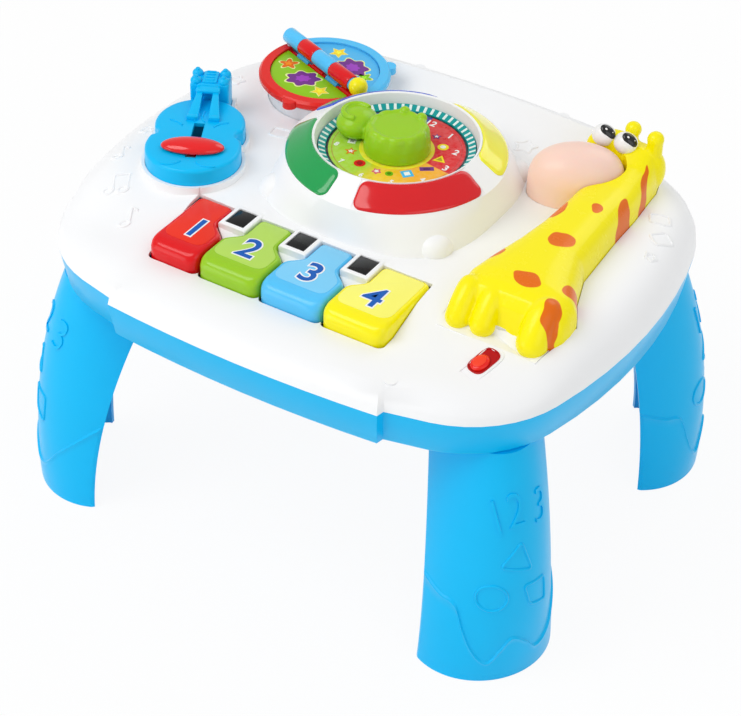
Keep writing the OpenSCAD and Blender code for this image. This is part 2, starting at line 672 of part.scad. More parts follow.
module guitar_plan(c) {
    difference() {
        union() {
            circle(r = bout_r + c);
            translate([0.5, upper_v]) circle(r = bout_r - 1.5 + c);
        }
        for (s = [-1, 1]) translate([s * (bout_r + 0.5), 14.5]) circle(r = 5.5 - c);
    }
    translate([head_u - head_half - c, head_v0 - 8 - c]) square([2 * (head_half + c), head_v1 - head_v0 + 8 + 2 * c]);
}

module guitar_body() {
    color(blue) at_guitar() {
        difference() {
            union() {
                translate([0, 0, guitar_low_z]) linear_extrude(guitar_top_z - guitar_low_z - 1.2) guitar_plan(0);
                translate([0, 0, guitar_top_z - 1.2 - eps]) linear_extrude(1.2) guitar_plan(-1.2);
            }
            translate([0, 0, guitar_low_z - 1]) linear_extrude(guitar_top_z - guitar_low_z - 1.5) guitar_plan(-2.2);
            block(0.5 - slot_w / 2, 0.5 + slot_w / 2, slot_v0, slot_v0 + slot_l, guitar_low_z, guitar_top_z + 1);
        }
        translate([head_u, 0, 0]) {
            block(-head_half, head_half, head_v0, head_v1, guitar_top_z - 4, guitar_top_z + head_rise - 2);
            for (s = [-1, 1]) for (v = [head_v0 + 5, head_v1 - 4])
                translate([s * (head_half - 3), v, guitar_top_z + head_rise - 2]) sphere(r = 3.2);
            for (s = [-1, 1]) translate([s * neck_half, 0, 0]) mirror([s > 0 ? 1 : 0, 0, 0]) rotate([90, 0, 90])
                linear_extrude(neck_half - 2.5) polygon([[head_v0 + 1, guitar_top_z + head_rise - 2.5],
                    [head_v0 + 1, guitar_top_z + 3], [34, guitar_top_z - 1], [27, guitar_top_z - 1],
                    [27, guitar_top_z + 3]]);
        }
        for (p = [[-20, -10], [20, -10], [0, 45]]) post(p[0], p[1], 3.5, floor_z, guitar_top_z - 2);
    }
}
bar_z = guitar_top_z + fit_gap;
module guitar_bar() {
    color(red) at_guitar() translate([0.5, bar_v, 0]) {
        skin([oval_ring(bar_half - 0.8, 7.7, bar_z), oval_ring(bar_half, 8.5, bar_z + 1.5),
            oval_ring(bar_half - 0.6, 8, bar_z + 3.5), oval_ring(bar_half - 3.5, 6, bar_z + 5.2),
            oval_ring(bar_half - 9, 3, bar_z + 6)]);
        block(-slot_w / 2 + fit_gap, slot_w / 2 - fit_gap, -3, 3, guitar_top_z - 3, bar_z + 1);
    }
}
module guitar_bar_keeper() {
    color("#d8dadc") at_guitar() translate([0.5, bar_v, 0])
        block(-slot_w, slot_w, -6, 6, guitar_top_z - 5, guitar_top_z - 3);
}

// ---- giraffe ----

giraffe_low_z = deck_z - 14;
// Stations along the body: y, shift of the middle in x, half width, share of the full height
giraffe_line = [[112, -3, 8, 0.8], [106, -3, 15, 1.25], [96, -4, 19, 1.4], [85, -1, 17, 1.02], [62, -0.5, 18.5, 0.93],
    [38, 0, 18.5, 1], [14, 0, 20, 1], [-8, -1, 22.5, 1], [-30, 0, 29, 1], [-46, 2.5, 35, 0.97],
    [-60, 2, 34, 0.9], [-70, 0.5, 32.5, 0.62], [-80, -0.5, 31, 0.15]];
toes = [[-23, -72.2], [-9, -72.4], [8, -72.4], [22, -72.2]];
toe_r = 7.5;

function giraffe_side(s, c) = [for (i = [0:len(giraffe_line) - 1]) let(g = giraffe_line[i])
    [giraffe_x + g[1] + s * (g[2] + c), g[0] + (i == 0 ? c : i == len(giraffe_line) - 1 ? -c : 0)]];
function giraffe_plan(c) = let(l = giraffe_side(-1, c)) concat(giraffe_side(1, c), [for (i = [len(l) - 1:-1:0]) l[i]]);
// One section of the body; c draws it in, for the hollow inside
function giraffe_ring(g, c) = let(w = g[2] - c, x = giraffe_x + g[1], low = giraffe_low_z - c) concat(
    [[x + w, g[0], low]],
    [for (i = [0:13]) let(t = 180 * i / 13) [x + w * sign(cos(t)) * pow(abs(cos(t)), 0.6), g[0],
        deck_z - 4 + (giraffe_h * g[3] + 4 - c) * pow(abs(sin(t)), 0.6)]],
    [[x - w, g[0], low]]);

module at_snout() { translate([snout_x, snout_y, 0]) rotate(31) children(); }

eye_r = 7;
eyes = [[99, 96], [113, 98]];
horns = [[113, 104], [127, 101]];
eye_z = deck_z + giraffe_h + 7;
pupil_off = [-2.5, -3, 4.2];

module giraffe_body() {
    color(yellow) difference() {
        union() {
            difference() {
                skin([for (g = giraffe_line) giraffe_ring(g, 0)]);
                skin([for (i = [1:len(giraffe_line) - 3]) giraffe_ring(giraffe_line[i], wall)]);
            }
            for (p = horns) {
                post(p.x, p.y, 2.6, deck_z + 10, eye_z + 5);
                translate([p.x, p.y, eye_z + 7]) sphere(r = 4);
            }
            for (p = toes) translate([giraffe_x + p.x, p.y, deck_z + 2]) sphere(r = toe_r);
            for (p = [[-8, -20, 1], [4, -52, -1], [8, 62, -2]])
                post(giraffe_x + p[0], p[1], 3.5, floor_z, deck_z + giraffe_h - 2 + p[2]);
        }
        for (p = eyes) translate([p.x, p.y, eye_z]) sphere(r = eye_r + run_play);
        at_snout() translate([0, 0, giraffe_low_z - 30]) linear_extrude(80)
            polygon([for (p = oval_ring(snout_half + fit_gap, snout_wide + fit_gap, 0)) [p.x, p.y]]);
    }
}
module giraffe_eyes() {
    color("white") difference() {
        for (p = eyes) translate([p.x, p.y, eye_z]) sphere(r = eye_r);
        for (p = eyes) translate([p.x, p.y, eye_z] + pupil_off) sphere(r = 3.4 + run_play);
    }
}
module giraffe_pupils() {
    color("#111111") for (p = eyes) translate([p.x, p.y, eye_z] + pupil_off) sphere(r = 3.4);
}
module giraffe_snout() {
    color("#f6c6b4") at_snout() difference() {
        skin([oval_ring(snout_half, snout_wide, deck_z - 12), oval_ring(snout_half, snout_wide, deck_z + 6),
            oval_ring(snout_half - 0.7, snout_wide - 0.6, deck_z + 11), oval_ring(snout_half - 2.5, snout_wide - 2.2, deck_z + 16),
            oval_ring(snout_half - 6, snout_wide - 5, deck_z + snout_h - 5.5), oval_ring(snout_half - 12, snout_wide - 9, deck_z + snout_h - 1.8),
            oval_ring(snout_half - 20, snout_wide - 14.5, deck_z + snout_h)]);
        skin([oval_ring(snout_half - wall, snout_wide - wall, deck_z - 13),
            oval_ring(snout_half - wall, snout_wide - wall, deck_z + 10),
            oval_ring(snout_half - 12, snout_wide - 9, deck_z + snout_h - 5)]);
    }
    color("#f6c6b4") at_snout() post(0, 0, 4, deck_z - 18, deck_z + snout_h - 4);
}
module snout_board() {
    color("#1d7a45") at_snout() {
        block(-14, 14, -11, 11, deck_z - 18 - snout_travel - fit_gap - 2 - board_t, deck_z - 18 - snout_travel - fit_gap - 2);
        post(0, 0, 4, deck_z - 20 - snout_travel - fit_gap - eps, deck_z - 18 - snout_travel - fit_gap);
        for (s = [-1, 1]) post(s * 11, 0, 2.5, floor_z, deck_z - 20 - snout_travel - fit_gap - board_t + eps);
    }
}

// ---- power switch ----

switch_at = [124, -93.5];
switch_turn = 73;
switch_l = 22;
switch_w = 9;
switch_z = seam_z + rise(switch_at[0], switch_at[1], dome_h);
switch_post = 17;
switch_tilt = 16;
module at_switch() {
    translate([switch_at[0], switch_at[1], switch_z]) rotate(switch_turn) rotate([0, -switch_tilt, 0]) children();
}
module power_switch_body() {
    color("#b80c18") at_switch() {
        difference() {
            block(-switch_l / 2, switch_l / 2, -switch_w / 2, switch_w / 2, -9, -2.5);
            block(-switch_l / 2 + 1.5, switch_l / 2 - 1.5, -switch_w / 2 + 1.2, switch_w / 2 - 1.2, -6, 0);
        }
        block(-3, 3, switch_w / 2 - eps, switch_post + 3, -9, -6.5);
    }
    color("#b80c18") translate([switch_at[0], switch_at[1], 0]) rotate(switch_turn)
        post(8 * sin(switch_tilt), switch_post, 2.5, floor_z, switch_z - 7.6);
}
module power_switch_button() {
    color(red) at_switch() {
        block(-switch_l / 2 + 1.5 + fit_gap, -switch_l / 2 + 1.5 + fit_gap + 12, -switch_w / 2 + 1.2 + fit_gap,
            switch_w / 2 - 1.2 - fit_gap, -6 + fit_gap, 0);
        for (x = [2.5, 5.5, 8.5]) block(-switch_l / 2 + 1.5 + x, -switch_l / 2 + 2.7 + x, -switch_w / 2 + 2, switch_w / 2 - 2, -eps, 0.8);
    }
}

// ---- electrics and battery bay ----

module battery_box() {
    color("#2a2c2f") translate([battery_at.x, battery_at.y, 0]) difference() {
        block(-bay_w / 2 - 2, bay_w / 2 + 2, -bay_l / 2 - 2, bay_l / 2 + 2, floor_z, floor_z + 2 * cell_r + 4);
        block(-bay_w / 2, bay_w / 2, -bay_l / 2, bay_l / 2, floor_z - 1, floor_z + 2 * cell_r + 2);
    }
}
module batteries() {
    color("#4a7d3a") translate([battery_at.x, battery_at.y, floor_z + cell_r + 1.7]) for (i = [-1:1])
        translate([i * (2 * cell_r + 1), 0, 0]) rotate([90, 0, 0]) {
            translate([0, 0, -cell_l / 2]) cylinder(r = cell_r, h = cell_l - 1.5);
            translate([0, 0, cell_l / 2 - 1.6]) cylinder(r = 2.6, h = 1.6);
        }
}
module battery_contacts() {
    color("silver") translate([battery_at.x, battery_at.y, floor_z + cell_r + 1.7]) for (i = [-1:1]) for (s = [-1, 1])
        translate([i * (2 * cell_r + 1), s * (bay_l / 2 - 0.5), 0]) {
            block(-5, 5, -0.5, 0.5, -5, 5);
            rotate([s * 90, 0, 0]) cylinder(r1 = 4, r2 = 2.5, h = (bay_l - cell_l) / 2 - 0.5 - fit_gap / 2);
        }
}
module battery_door() {
    color(blue) translate([battery_at.x, battery_at.y, 0]) difference() {
        union() {
            block(-bay_w / 2 - door_lip, bay_w / 2 + door_lip, -bay_l / 2 - door_lip, bay_l / 2 + door_lip, tray_z - 2, tray_z - fit_gap);
            block(-bay_w / 2 + fit_gap, bay_w / 2 - fit_gap, -bay_l / 2 + fit_gap, bay_l / 2 - fit_gap, tray_z - fit_gap - eps, tray_z + 1.8);
        }
        post(0, -bay_l / 2 + 4.5, screw_r + 0.1, tray_z - 3, floor_z);
    }
}
module battery_door_screw() {
    color("silver") translate([battery_at.x, battery_at.y - bay_l / 2 + 4.5, 0]) {
        post(0, 0, screw_r, tray_z - 2, tray_z + 1.8);
        post(0, 0, screw_r + 1.3, tray_z - 3.2, tray_z - 2);
    }
}
module main_board() {
    color("#1d7a45") block(main_board[0], main_board[1], main_board[2], main_board[3], main_board_z, main_board_z + board_t);
}
module board_chips() {
    color("#202225") for (x = [-40, -8, 26, 48])
        block(x - 7, x + 7, -34, -22, main_board_z + board_t, main_board_z + board_t + 2.2);
}
module speaker() {
    color("#303338") translate([speaker_at.x, speaker_at.y, floor_z]) rotate_extrude()
        polygon([[speaker_r - 2, 0], [speaker_r, 0], [speaker_r, 3], [13, 11], [11, 11], [11, 9], [speaker_r - 3, 2]]);
}
module speaker_magnet() {
    color("silver") post(speaker_at.x, speaker_at.y, 13, floor_z + 11, floor_z + 17);
}
module speaker_clamp() {
    color(blue) translate([speaker_at.x, speaker_at.y, 0]) for (a = [60:120:300]) rotate(a) {
        block(speaker_r + fit_gap, speaker_r + 4, -3, 3, floor_z, floor_z + 5.5);
        block(speaker_r - 1, speaker_r + 4, -3, 3, floor_z + 4, floor_z + 5.5);
    }
}

base_shell();
top_shell();
console_pedestal();
leg_front_left();
leg_front_right();
leg_back_left();
leg_back_right();
case_screws();
battery_door();
battery_door_screw();
battery_box();
batteries();
battery_contacts();
main_board();
board_chips();
speaker();
speaker_magnet();
speaker_clamp();
key(0);  // key_1
key(1);  // key_2
key(2);  // key_3
key(3);  // key_4
black_key_caps();
key_bracket();
key_hinge_rod();
key_contact_strip();
lens(0, "#d00c1c");  // lens_red
lens(1, "#f5e428");  // lens_yellow
lens(2, "#1c50c8");  // lens_blue
lens(3, "#0c9a50");  // lens_green
dial_face();
tick_ring();
dial_knob();
dial_encoder();
light_board();
light_diodes();
drum_pedestal();
drum_board();
drum_domes();
drum_hinge_rod();
drum_left_rim();
drum_left_skin();
drum_right_rim();
drum_right_skin();
drumstick_shaft();
drumstick_bands();
drumstick_tip();
guitar_body();
guitar_bar();
guitar_bar_keeper();
giraffe_body();
giraffe_snout();
giraffe_eyes();
giraffe_pupils();
snout_board();
power_switch_body();
power_switch_button();
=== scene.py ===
"""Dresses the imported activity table: shells, legs, keys, dial, drum, guitar, giraffe and stage."""

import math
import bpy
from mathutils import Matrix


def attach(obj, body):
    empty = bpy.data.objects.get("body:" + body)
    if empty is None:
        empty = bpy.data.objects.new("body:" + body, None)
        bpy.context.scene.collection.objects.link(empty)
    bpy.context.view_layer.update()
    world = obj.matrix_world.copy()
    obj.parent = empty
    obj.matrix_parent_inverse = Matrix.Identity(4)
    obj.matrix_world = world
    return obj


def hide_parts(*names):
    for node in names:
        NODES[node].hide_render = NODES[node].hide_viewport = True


bl_info = {
    "name": "Musical activity table",
    "version": (1, 0, 0),
    "blender": (4, 5, 0),
    "location": "View3D > Sidebar > Activity table",
    "description": "Builds the finished look of a children's musical activity table",
    "category": "Object",
}

import bmesh
import bpy
from bpy.props import FloatProperty, FloatVectorProperty, PointerProperty
from mathutils import Matrix, Vector
from mathutils.bvhtree import BVHTree

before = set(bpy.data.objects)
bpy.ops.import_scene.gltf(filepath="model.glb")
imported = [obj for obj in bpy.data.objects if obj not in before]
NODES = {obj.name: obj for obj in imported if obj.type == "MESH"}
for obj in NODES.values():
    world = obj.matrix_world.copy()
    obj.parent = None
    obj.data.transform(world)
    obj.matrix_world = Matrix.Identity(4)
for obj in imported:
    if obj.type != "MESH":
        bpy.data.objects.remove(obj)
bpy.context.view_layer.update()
MM = 0.001

# ---- sizes shared with the CAD part, in millimetres ----

DECK_Z = 200.0
SEAM_Z = 174.0
TRAY_Z = 150.0
FLOOR_Z = 152.5
DIAL = Vector((0.0, 19.0, 0.0))
FACE_Z = 224.0
DRUM = Vector((-90.365, 79.952, 0.0))
DRUM_TURN = -23.0
DRUM_TOP = 217.5
GUITAR = Vector((-110.8, -33.5, 0.0))
GUITAR_TURN = 27.0
GUITAR_TOP = 215.0
GIRAFFE_X = 120.0
SNOUT_RISE = 25.5
SNOUT = Vector((94.0, 70.0, 0.0))
SNOUT_TURN = 31.0
SWITCH = (124.0, -93.5, 189.03)
SWITCH_TURN, SWITCH_TILT = 73.0, 16.0
KEY_PITCH = 42.1
FIRST_GAP = -55.2
KEY_BACK = -56.5
KEY_FRONT = -110.0
KEY_TOP = 199.0
KEY_LOW = 183.0
POST_HALF = 9.2


# ---- small geometry tools ----


def shape():
    """A new bmesh, worked in millimetres."""
    return bmesh.new()


def place(x=0.0, y=0.0, z=0.0, turn=0.0, tilt=0.0, roll=0.0, scale=(1, 1, 1)):
    """A place and turn in degrees: scaled, rolled about x, tilted about y, turned about z, then moved."""
    turned = Matrix.Rotation(math.radians(turn), 4, "Z") @ Matrix.Rotation(math.radians(tilt), 4, "Y")
    turned = turned @ Matrix.Rotation(math.radians(roll), 4, "X")
    return Matrix.Translation((x, y, z)) @ turned @ Matrix.Diagonal((*scale, 1))


def add(bm, other, matrix=None):
    """Adds another bmesh to this one at a place, and frees the other."""
    if matrix:
        bmesh.ops.transform(other, matrix=matrix, verts=other.verts)
    spare = bpy.data.meshes.new("spare")
    other.to_mesh(spare)
    other.free()
    bm.from_mesh(spare)
    bpy.data.meshes.remove(spare)
    return bm


def show(made):
    """Puts an object in the scene."""
    bpy.context.scene.collection.objects.link(made)
    return made


def ease(bm, edges, offset, steps=2, clamp=False):
    """Rounds edges by the offset."""
    bmesh.ops.bevel(
        bm, geom=edges, offset=offset, segments=steps, profile=0.5, affect="EDGES", material=-1,
        clamp_overlap=clamp,
    )


def ease_top(bm, z1, offset, steps):
    """Rounds the edges that lie at height z1."""
    ease(bm, [e for e in bm.edges if all(v.co.z > z1 - 1e-4 for v in e.verts)], offset, steps)


def disc(radius, z0, z1, segments=64, bevel=0.0, steps=3, matrix=None):
    """A round slab, its top edge rounded by the bevel."""
    bm = shape()
    bmesh.ops.create_cone(bm, cap_ends=True, segments=segments, radius1=radius, radius2=radius, depth=z1 - z0)
    bmesh.ops.translate(bm, vec=(0, 0, (z0 + z1) / 2), verts=bm.verts)
    if bevel:
        ease_top(bm, z1, bevel, steps)
    if matrix:
        bmesh.ops.transform(bm, matrix=matrix, verts=bm.verts)
    return bm


def brick(x0, x1, y0, y1, z0, z1, bevel=0.0, steps=2, matrix=None):
    """A block with its edges rounded by the bevel."""
    bm = shape()
    bmesh.ops.create_cube(bm, size=1)
    size = Matrix.Diagonal((x1 - x0, y1 - y0, z1 - z0, 1))
    middle = Matrix.Translation(((x0 + x1) / 2, (y0 + y1) / 2, (z0 + z1) / 2))
    bmesh.ops.transform(bm, matrix=middle @ size, verts=bm.verts)
    if bevel:
        ease(bm, bm.edges[:], bevel, steps)
    if matrix:
        bmesh.ops.transform(bm, matrix=matrix, verts=bm.verts)
    return bm


def ball(radius, matrix, segments=40, rings=24):
    """A ball of that radius, stretched and placed by the matrix."""
    bm = shape()
    bmesh.ops.create_uvsphere(bm, u_segments=segments, v_segments=rings, radius=radius)
    bmesh.ops.transform(bm, matrix=matrix, verts=bm.verts)
    return bm


def slab(points, z0, z1, bevel=0.0, steps=2):
    """A flat outline raised from z0 to z1, with a rounded top edge."""
    bm = shape()
    verts = [bm.verts.new((x, y, z0)) for x, y in points]
    bm.faces.new(verts)
    bmesh.ops.recalc_face_normals(bm, faces=bm.faces)
    raised = bmesh.ops.extrude_face_region(bm, geom=bm.faces[:])["geom"]
    top = [g for g in raised if isinstance(g, bmesh.types.BMVert)]
    bmesh.ops.translate(bm, vec=(0, 0, z1 - z0), verts=top)
    if bevel:
        ease_top(bm, z1, bevel, steps)
    bmesh.ops.recalc_face_normals(bm, faces=bm.faces)
    return bm


def turned(profile, steps=96, ring=False):
    """A closed form turned round the z axis, from a profile ending on the axis or a ring's closed section."""
    bm = shape()
    verts = [bm.verts.new((r, 0, z)) for r, z in profile]
    ends = verts[1:] + verts[:1] if ring else verts[1:]
    edges = [bm.edges.new(pair) for pair in zip(verts, ends)]
    bmesh.ops.spin(
        bm, geom=verts + edges, cent=(0, 0, 0), axis=(0, 0, 1), angle=math.tau, steps=steps, use_merge=True
    )
    bmesh.ops.remove_doubles(bm, verts=bm.verts, dist=1e-4)
    bmesh.ops.recalc_face_normals(bm, faces=bm.faces)
    return bm


def loft(rings, closed=False):
    """A form through rings that have the same count of points; closed rings round on themselves."""
    bm = shape()
    edges = []
    for ring in rings:
        loop = [bm.verts.new(point) for point in ring]
        edges.append([bm.edges.new(pair) for pair in zip(loop, loop[1:] + loop[:1])])
    for a, b in zip(edges, edges[1:] + (edges[:1] if closed else [])):
        bmesh.ops.bridge_loops(bm, edges=a + b)
    if not closed:
        for end in (edges[0], edges[-1]):
            bmesh.ops.contextual_create(bm, geom=end)
    bmesh.ops.recalc_face_normals(bm, faces=bm.faces)
    return bm


def rounded(points, radii, steps=5):
    """An outline whose corners are rounded, each by its own radius."""
    out = []
    for i, corner in enumerate(points):
        here = Vector(corner)
        back, ahead = Vector(points[i - 1]) - here, Vector(points[(i + 1) % len(points)]) - here
        reach = min(radii[i % len(radii)], 0.45 * back.length, 0.45 * ahead.length)
        start, end = here + back.normalized() * reach, here + ahead.normalized() * reach
        for j in range(steps + 1):
            t = j / steps
            out.append(start * (1 - t) ** 2 + here * (2 * t * (1 - t)) + end * t**2)
    return out


def thicken(bm, wall, outward, apart=()):
    """Gives a sheet its wall, with its faces turned outward first; the faces in apart have no say in that."""
    bmesh.ops.recalc_face_normals(bm, faces=bm.faces)
    if sum(f.normal.dot(outward) for f in bm.faces if f not in apart) < 0:
        bmesh.ops.reverse_faces(bm, faces=bm.faces)
    bmesh.ops.solidify(bm, geom=bm.faces[:], thickness=wall)


def bead(points, radius, closed=False, sides=8):
    """A round cord laid along points, its middle at the points' height."""
    path = [Vector((*p, 0)) if len(p) == 2 else Vector(p) for p in points]
    rings = []
    for i, here in enumerate(path):
        back = path[i - 1] if closed or i else here
        ahead = path[(i + 1) % len(path)] if closed or i + 1 < len(path) else here
        side = (ahead - back).cross(Vector((0, 0, 1))).normalized()
        turns = [math.tau * j / sides for j in range(sides)]
        rings.append([here + radius * (side * math.cos(a) + Vector((0, 0, math.sin(a)))) for a in turns])
    return loft(rings, closed)


def arc_points(x, y, radius, start, end, steps=16):
    """Points along an arc, angles in degrees."""
    angles = [math.radians(start + (end - start) * i / steps) for i in range(steps + 1)]
    return [(x + radius * math.cos(a), y + radius * math.sin(a)) for a in angles]


def ring_points(count, radius_at):
    """Points all round, at the radius that the function gives for each angle in degrees."""
    angles = [360 * i / count for i in range(count)]
    polar = [(radius_at(a), math.radians(a)) for a in angles]
    return [(radius * math.cos(turn), radius * math.sin(turn)) for radius, turn in polar]


def box_points(half_x, half_y, shift=0.0):
    """A box's outline, anticlockwise from its lower left corner."""
    return [(shift + sx * half_x, sy * half_y) for sx, sy in ((-1, -1), (1, -1), (1, 1), (-1, 1))]


def star_points(points, outer, inner):
    """A star's outline."""
    spokes = [(outer if i % 2 == 0 else inner, math.pi * i / points + math.pi / 2) for i in range(2 * points)]
    return [(r * math.cos(a), r * math.sin(a)) for r, a in spokes]


def lettering(text, size, depth, bold=0.0):
    """Raised numbers, centred on the origin, with their backs at z 0."""
    curve = bpy.data.curves.new("number", "FONT")
    curve.body = text
    curve.size = size
    curve.extrude = depth / 2
    curve.offset = bold
    curve.resolution_u = 6
    curve.align_x = "CENTER"
    curve.align_y = "CENTER"
    holder = bpy.data.objects.new("number", curve)
    mesh = bpy.data.meshes.new_from_object(holder)
    bm = shape()
    bm.from_mesh(mesh)
    bmesh.ops.remove_doubles(bm, verts=bm.verts, dist=1e-4)
    bmesh.ops.translate(bm, vec=(0, 0, depth / 2), verts=bm.verts)
    bpy.data.objects.remove(holder)
    bpy.data.curves.remove(curve)
    bpy.data.meshes.remove(mesh)
    return bm


def soften(bm, angle):
    """Smooth faces, with the edges sharper than the angle kept crisp."""
    limit = math.radians(angle)
    for face in bm.faces:
        face.smooth = True
    for edge in bm.edges:
        edge.smooth = len(edge.link_faces) == 2 and edge.calc_face_angle(0.0) < limit


def holder_of(bm, name):
    """A working object that holds the bmesh's mesh; the bmesh is freed."""
    mesh = bpy.data.meshes.new(name)
    bm.to_mesh(mesh)
    bm.free()
    return show(bpy.data.objects.new(name, mesh))


def worked_out(holder, *tools):
    """The holder's shape with its modifiers applied; the holder and the tools are deleted."""
    done = bpy.data.meshes.new_from_object(holder.evaluated_get(bpy.context.evaluated_depsgraph_get()))
    out = shape()
    out.from_mesh(done)
    for spare in (holder, *tools):
        data = spare.data
        bpy.data.objects.remove(spare)
        bpy.data.meshes.remove(data)
    bpy.data.meshes.remove(done)
    return out


def melt(bm, voxel, smooth_steps):
    """Runs overlapping shapes together into one moulded form, and smooths where they meet."""
    holder = holder_of(bm, "melt")
    remesh = holder.modifiers.new("remesh", "REMESH")
    remesh.mode = "VOXEL"
    remesh.voxel_size = voxel
    relax = holder.modifiers.new("relax", "SMOOTH")
    relax.factor = 0.5
    relax.iterations = smooth_steps
    return worked_out(holder)


def carve(bm, *cutters):
    """Cuts closed shapes out of this one."""
    holder = holder_of(bm, "carved")
    tools = []
    for cutter in cutters:
        bmesh.ops.recalc_face_normals(cutter, faces=cutter.faces)
        tools.append(holder_of(cutter, "blade"))
        cut = holder.modifiers.new("cut", "BOOLEAN")
        cut.operation = "DIFFERENCE"
        cut.solver = "EXACT"
        cut.object = tools[-1]
    return worked_out(holder, *tools)


def piece(name, bm, finish, body="table", cad=(), angle=34.0, recalc=True):
    """Turns a bmesh in millimetres into a finished piece that rides on a body."""
    bmesh.ops.remove_doubles(bm, verts=bm.verts, dist=1e-3)
    if recalc:
        bmesh.ops.recalc_face_normals(bm, faces=bm.faces)
    bmesh.ops.scale(bm, vec=(MM, MM, MM), verts=bm.verts)
    soften(bm, angle)
    mesh = bpy.data.meshes.new(name)
    bm.to_mesh(mesh)
    bm.free()
    mesh.materials.append(finish)
    made = show(bpy.data.objects.new(name, mesh))
    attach(made, body)
    if cad:
        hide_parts(*cad)
    return made


def cad_shape(node):
    """A merged copy of a CAD node's mesh, in millimetres."""
    bm = shape()
    bm.from_mesh(NODES[node].data)
    bmesh.ops.scale(bm, vec=(1 / MM,) * 3, verts=bm.verts)
    bmesh.ops.remove_doubles(bm, verts=bm.verts, dist=0.01)
    return bm


def moulded(node, name, finish, body="table", angle=34.0, bevel=0.0, extra=()):
    """The CAD node's own shape with its facets smoothed and its edges eased, and extra shapes joined on."""
    bm = cad_shape(node)
    bmesh.ops.dissolve_limit(bm, angle_limit=math.radians(0.6), verts=bm.verts, edges=bm.edges)
    if bevel:
        shared = [e for e in bm.edges if len(e.link_faces) == 2]
        crisp = [e for e in shared if e.calc_face_angle(0.0) > math.radians(angle)]
        ease(bm, crisp, bevel, clamp=True)
    for other in extra:
        add(bm, other)
    return piece(name, bm, finish, body, (node,), angle, recalc=False)


def surface_of(node):
    """A tree of a CAD node's surface, for dropping things on it."""
    mesh = NODES[node].data
    return BVHTree.FromPolygons([v.co / MM for v in mesh.vertices], [p.vertices[:] for p in mesh.polygons])


def drape(bm, tree, top=400.0):
    """Lifts each vertex by the height of the surface under it."""
    for vert in bm.verts:
        hit = tree.ray_cast(Vector((vert.co.x, vert.co.y, top)), Vector((0, 0, -1)))[0]
        vert.co.z += hit.z if hit else SEAM_Z
    return bm


# ---- finishes ----


SHEEN = 0.24
MOULD_GRAIN, GRAIN_DEPTH = 0.04, 0.00002
GLOW_DEPTH = 0.004
SPOT_WOBBLE = 0.006


def linear(colour):
    """A display colour as the linear colour that a shader takes."""
    return [c / 12.92 if c <= 0.04045 else ((c + 0.055) / 1.055) ** 2.4 for c in colour[:3]]


def tinted(colour, share):
    """The colour made lighter, or darker where the share is under 1."""
    return [min(1.0, c * share) for c in colour]


class Finish:
    """A node material under construction."""

    def __init__(self, name):
        self.material = bpy.data.materials.new(name)
        self.material.use_nodes = True
        self.tree = self.material.node_tree
        self.tree.nodes.clear()
        self.out = self.tree.nodes.new("ShaderNodeOutputMaterial")
        self.shader = self.tree.nodes.new("ShaderNodeBsdfPrincipled")
        self.link(self.shader.outputs[0], self.out.inputs[0])
        self.coords = self.tree.nodes.new("ShaderNodeTexCoord").outputs["Object"]

    def node(self, kind, **sockets):
        made = self.tree.nodes.new(kind)
        for key, value in sockets.items():
            made.inputs[key.replace("_", " ")].default_value = value
        return made

    def link(self, a, b):
        self.tree.links.new(a, b)

    def math(self, operation, *values, kind="ShaderNodeMath"):
        """A math node's first output: each value is a socket or a constant."""
        made = self.tree.nodes.new(kind)
        made.operation = operation
        for value, socket in zip(values, made.inputs):
            if isinstance(value, bpy.types.NodeSocket):
                self.link(value, socket)
            else:
                socket.default_value = value
        return made.outputs["Value"] if operation == "LENGTH" else made.outputs[0]

    def vector(self, operation, *values):
        return self.math(operation, *values, kind="ShaderNodeVectorMath")

    def noise(self, scale, detail=2.0, rough=0.5, output="Fac"):
        made = self.node("ShaderNodeTexNoise", Scale=scale, Detail=detail, Roughness=rough)
        self.link(self.coords, made.inputs["Vector"])
        return made.outputs[output]

    def spread(self, factor, low, high, start=0.3, end=0.7):
        made = self.node("ShaderNodeMapRange", From_Min=start, From_Max=end, To_Min=low, To_Max=high)
        self.link(factor, made.inputs["Value"])
        return made.outputs["Result"]

    def mix(self, factor, a, b):
        made = self.tree.nodes.new("ShaderNodeMix")
        made.data_type = "RGBA"
        for value, socket in ((factor, made.inputs[0]), (a, made.inputs[6]), (b, made.inputs[7])):
            if isinstance(value, bpy.types.NodeSocket):
                self.link(value, socket)
            elif isinstance(value, (int, float)):
                socket.default_value = value
            else:
                socket.default_value = (*value, 1)
        return made.outputs[2]

    def bump(self, height, strength, distance):
        made = self.node("ShaderNodeBump", Strength=strength, Distance=distance)
        self.link(height, made.inputs["Height"])
        self.link(made.outputs["Normal"], self.shader.inputs["Normal"])

    def drift(self, colour, share):
        """The colour, drifting darker and lighter by the share."""
        base = linear(colour)
        cloud = self.spread(self.noise(14.0, 3.0), 0.0, 1.0)
        return self.mix(cloud, tinted(base, 1 - share), tinted(base, 1 + share))

    def surface(self, colour, rough, **constants):
        """Links the colour and the roughness, and sets the shader's other values."""
        self.link(colour, self.shader.inputs["Base Color"])
        self.link(rough, self.shader.inputs["Roughness"])
        for key, value in constants.items():
            self.shader.inputs[key.replace("_", " ")].default_value = value
        return self.material


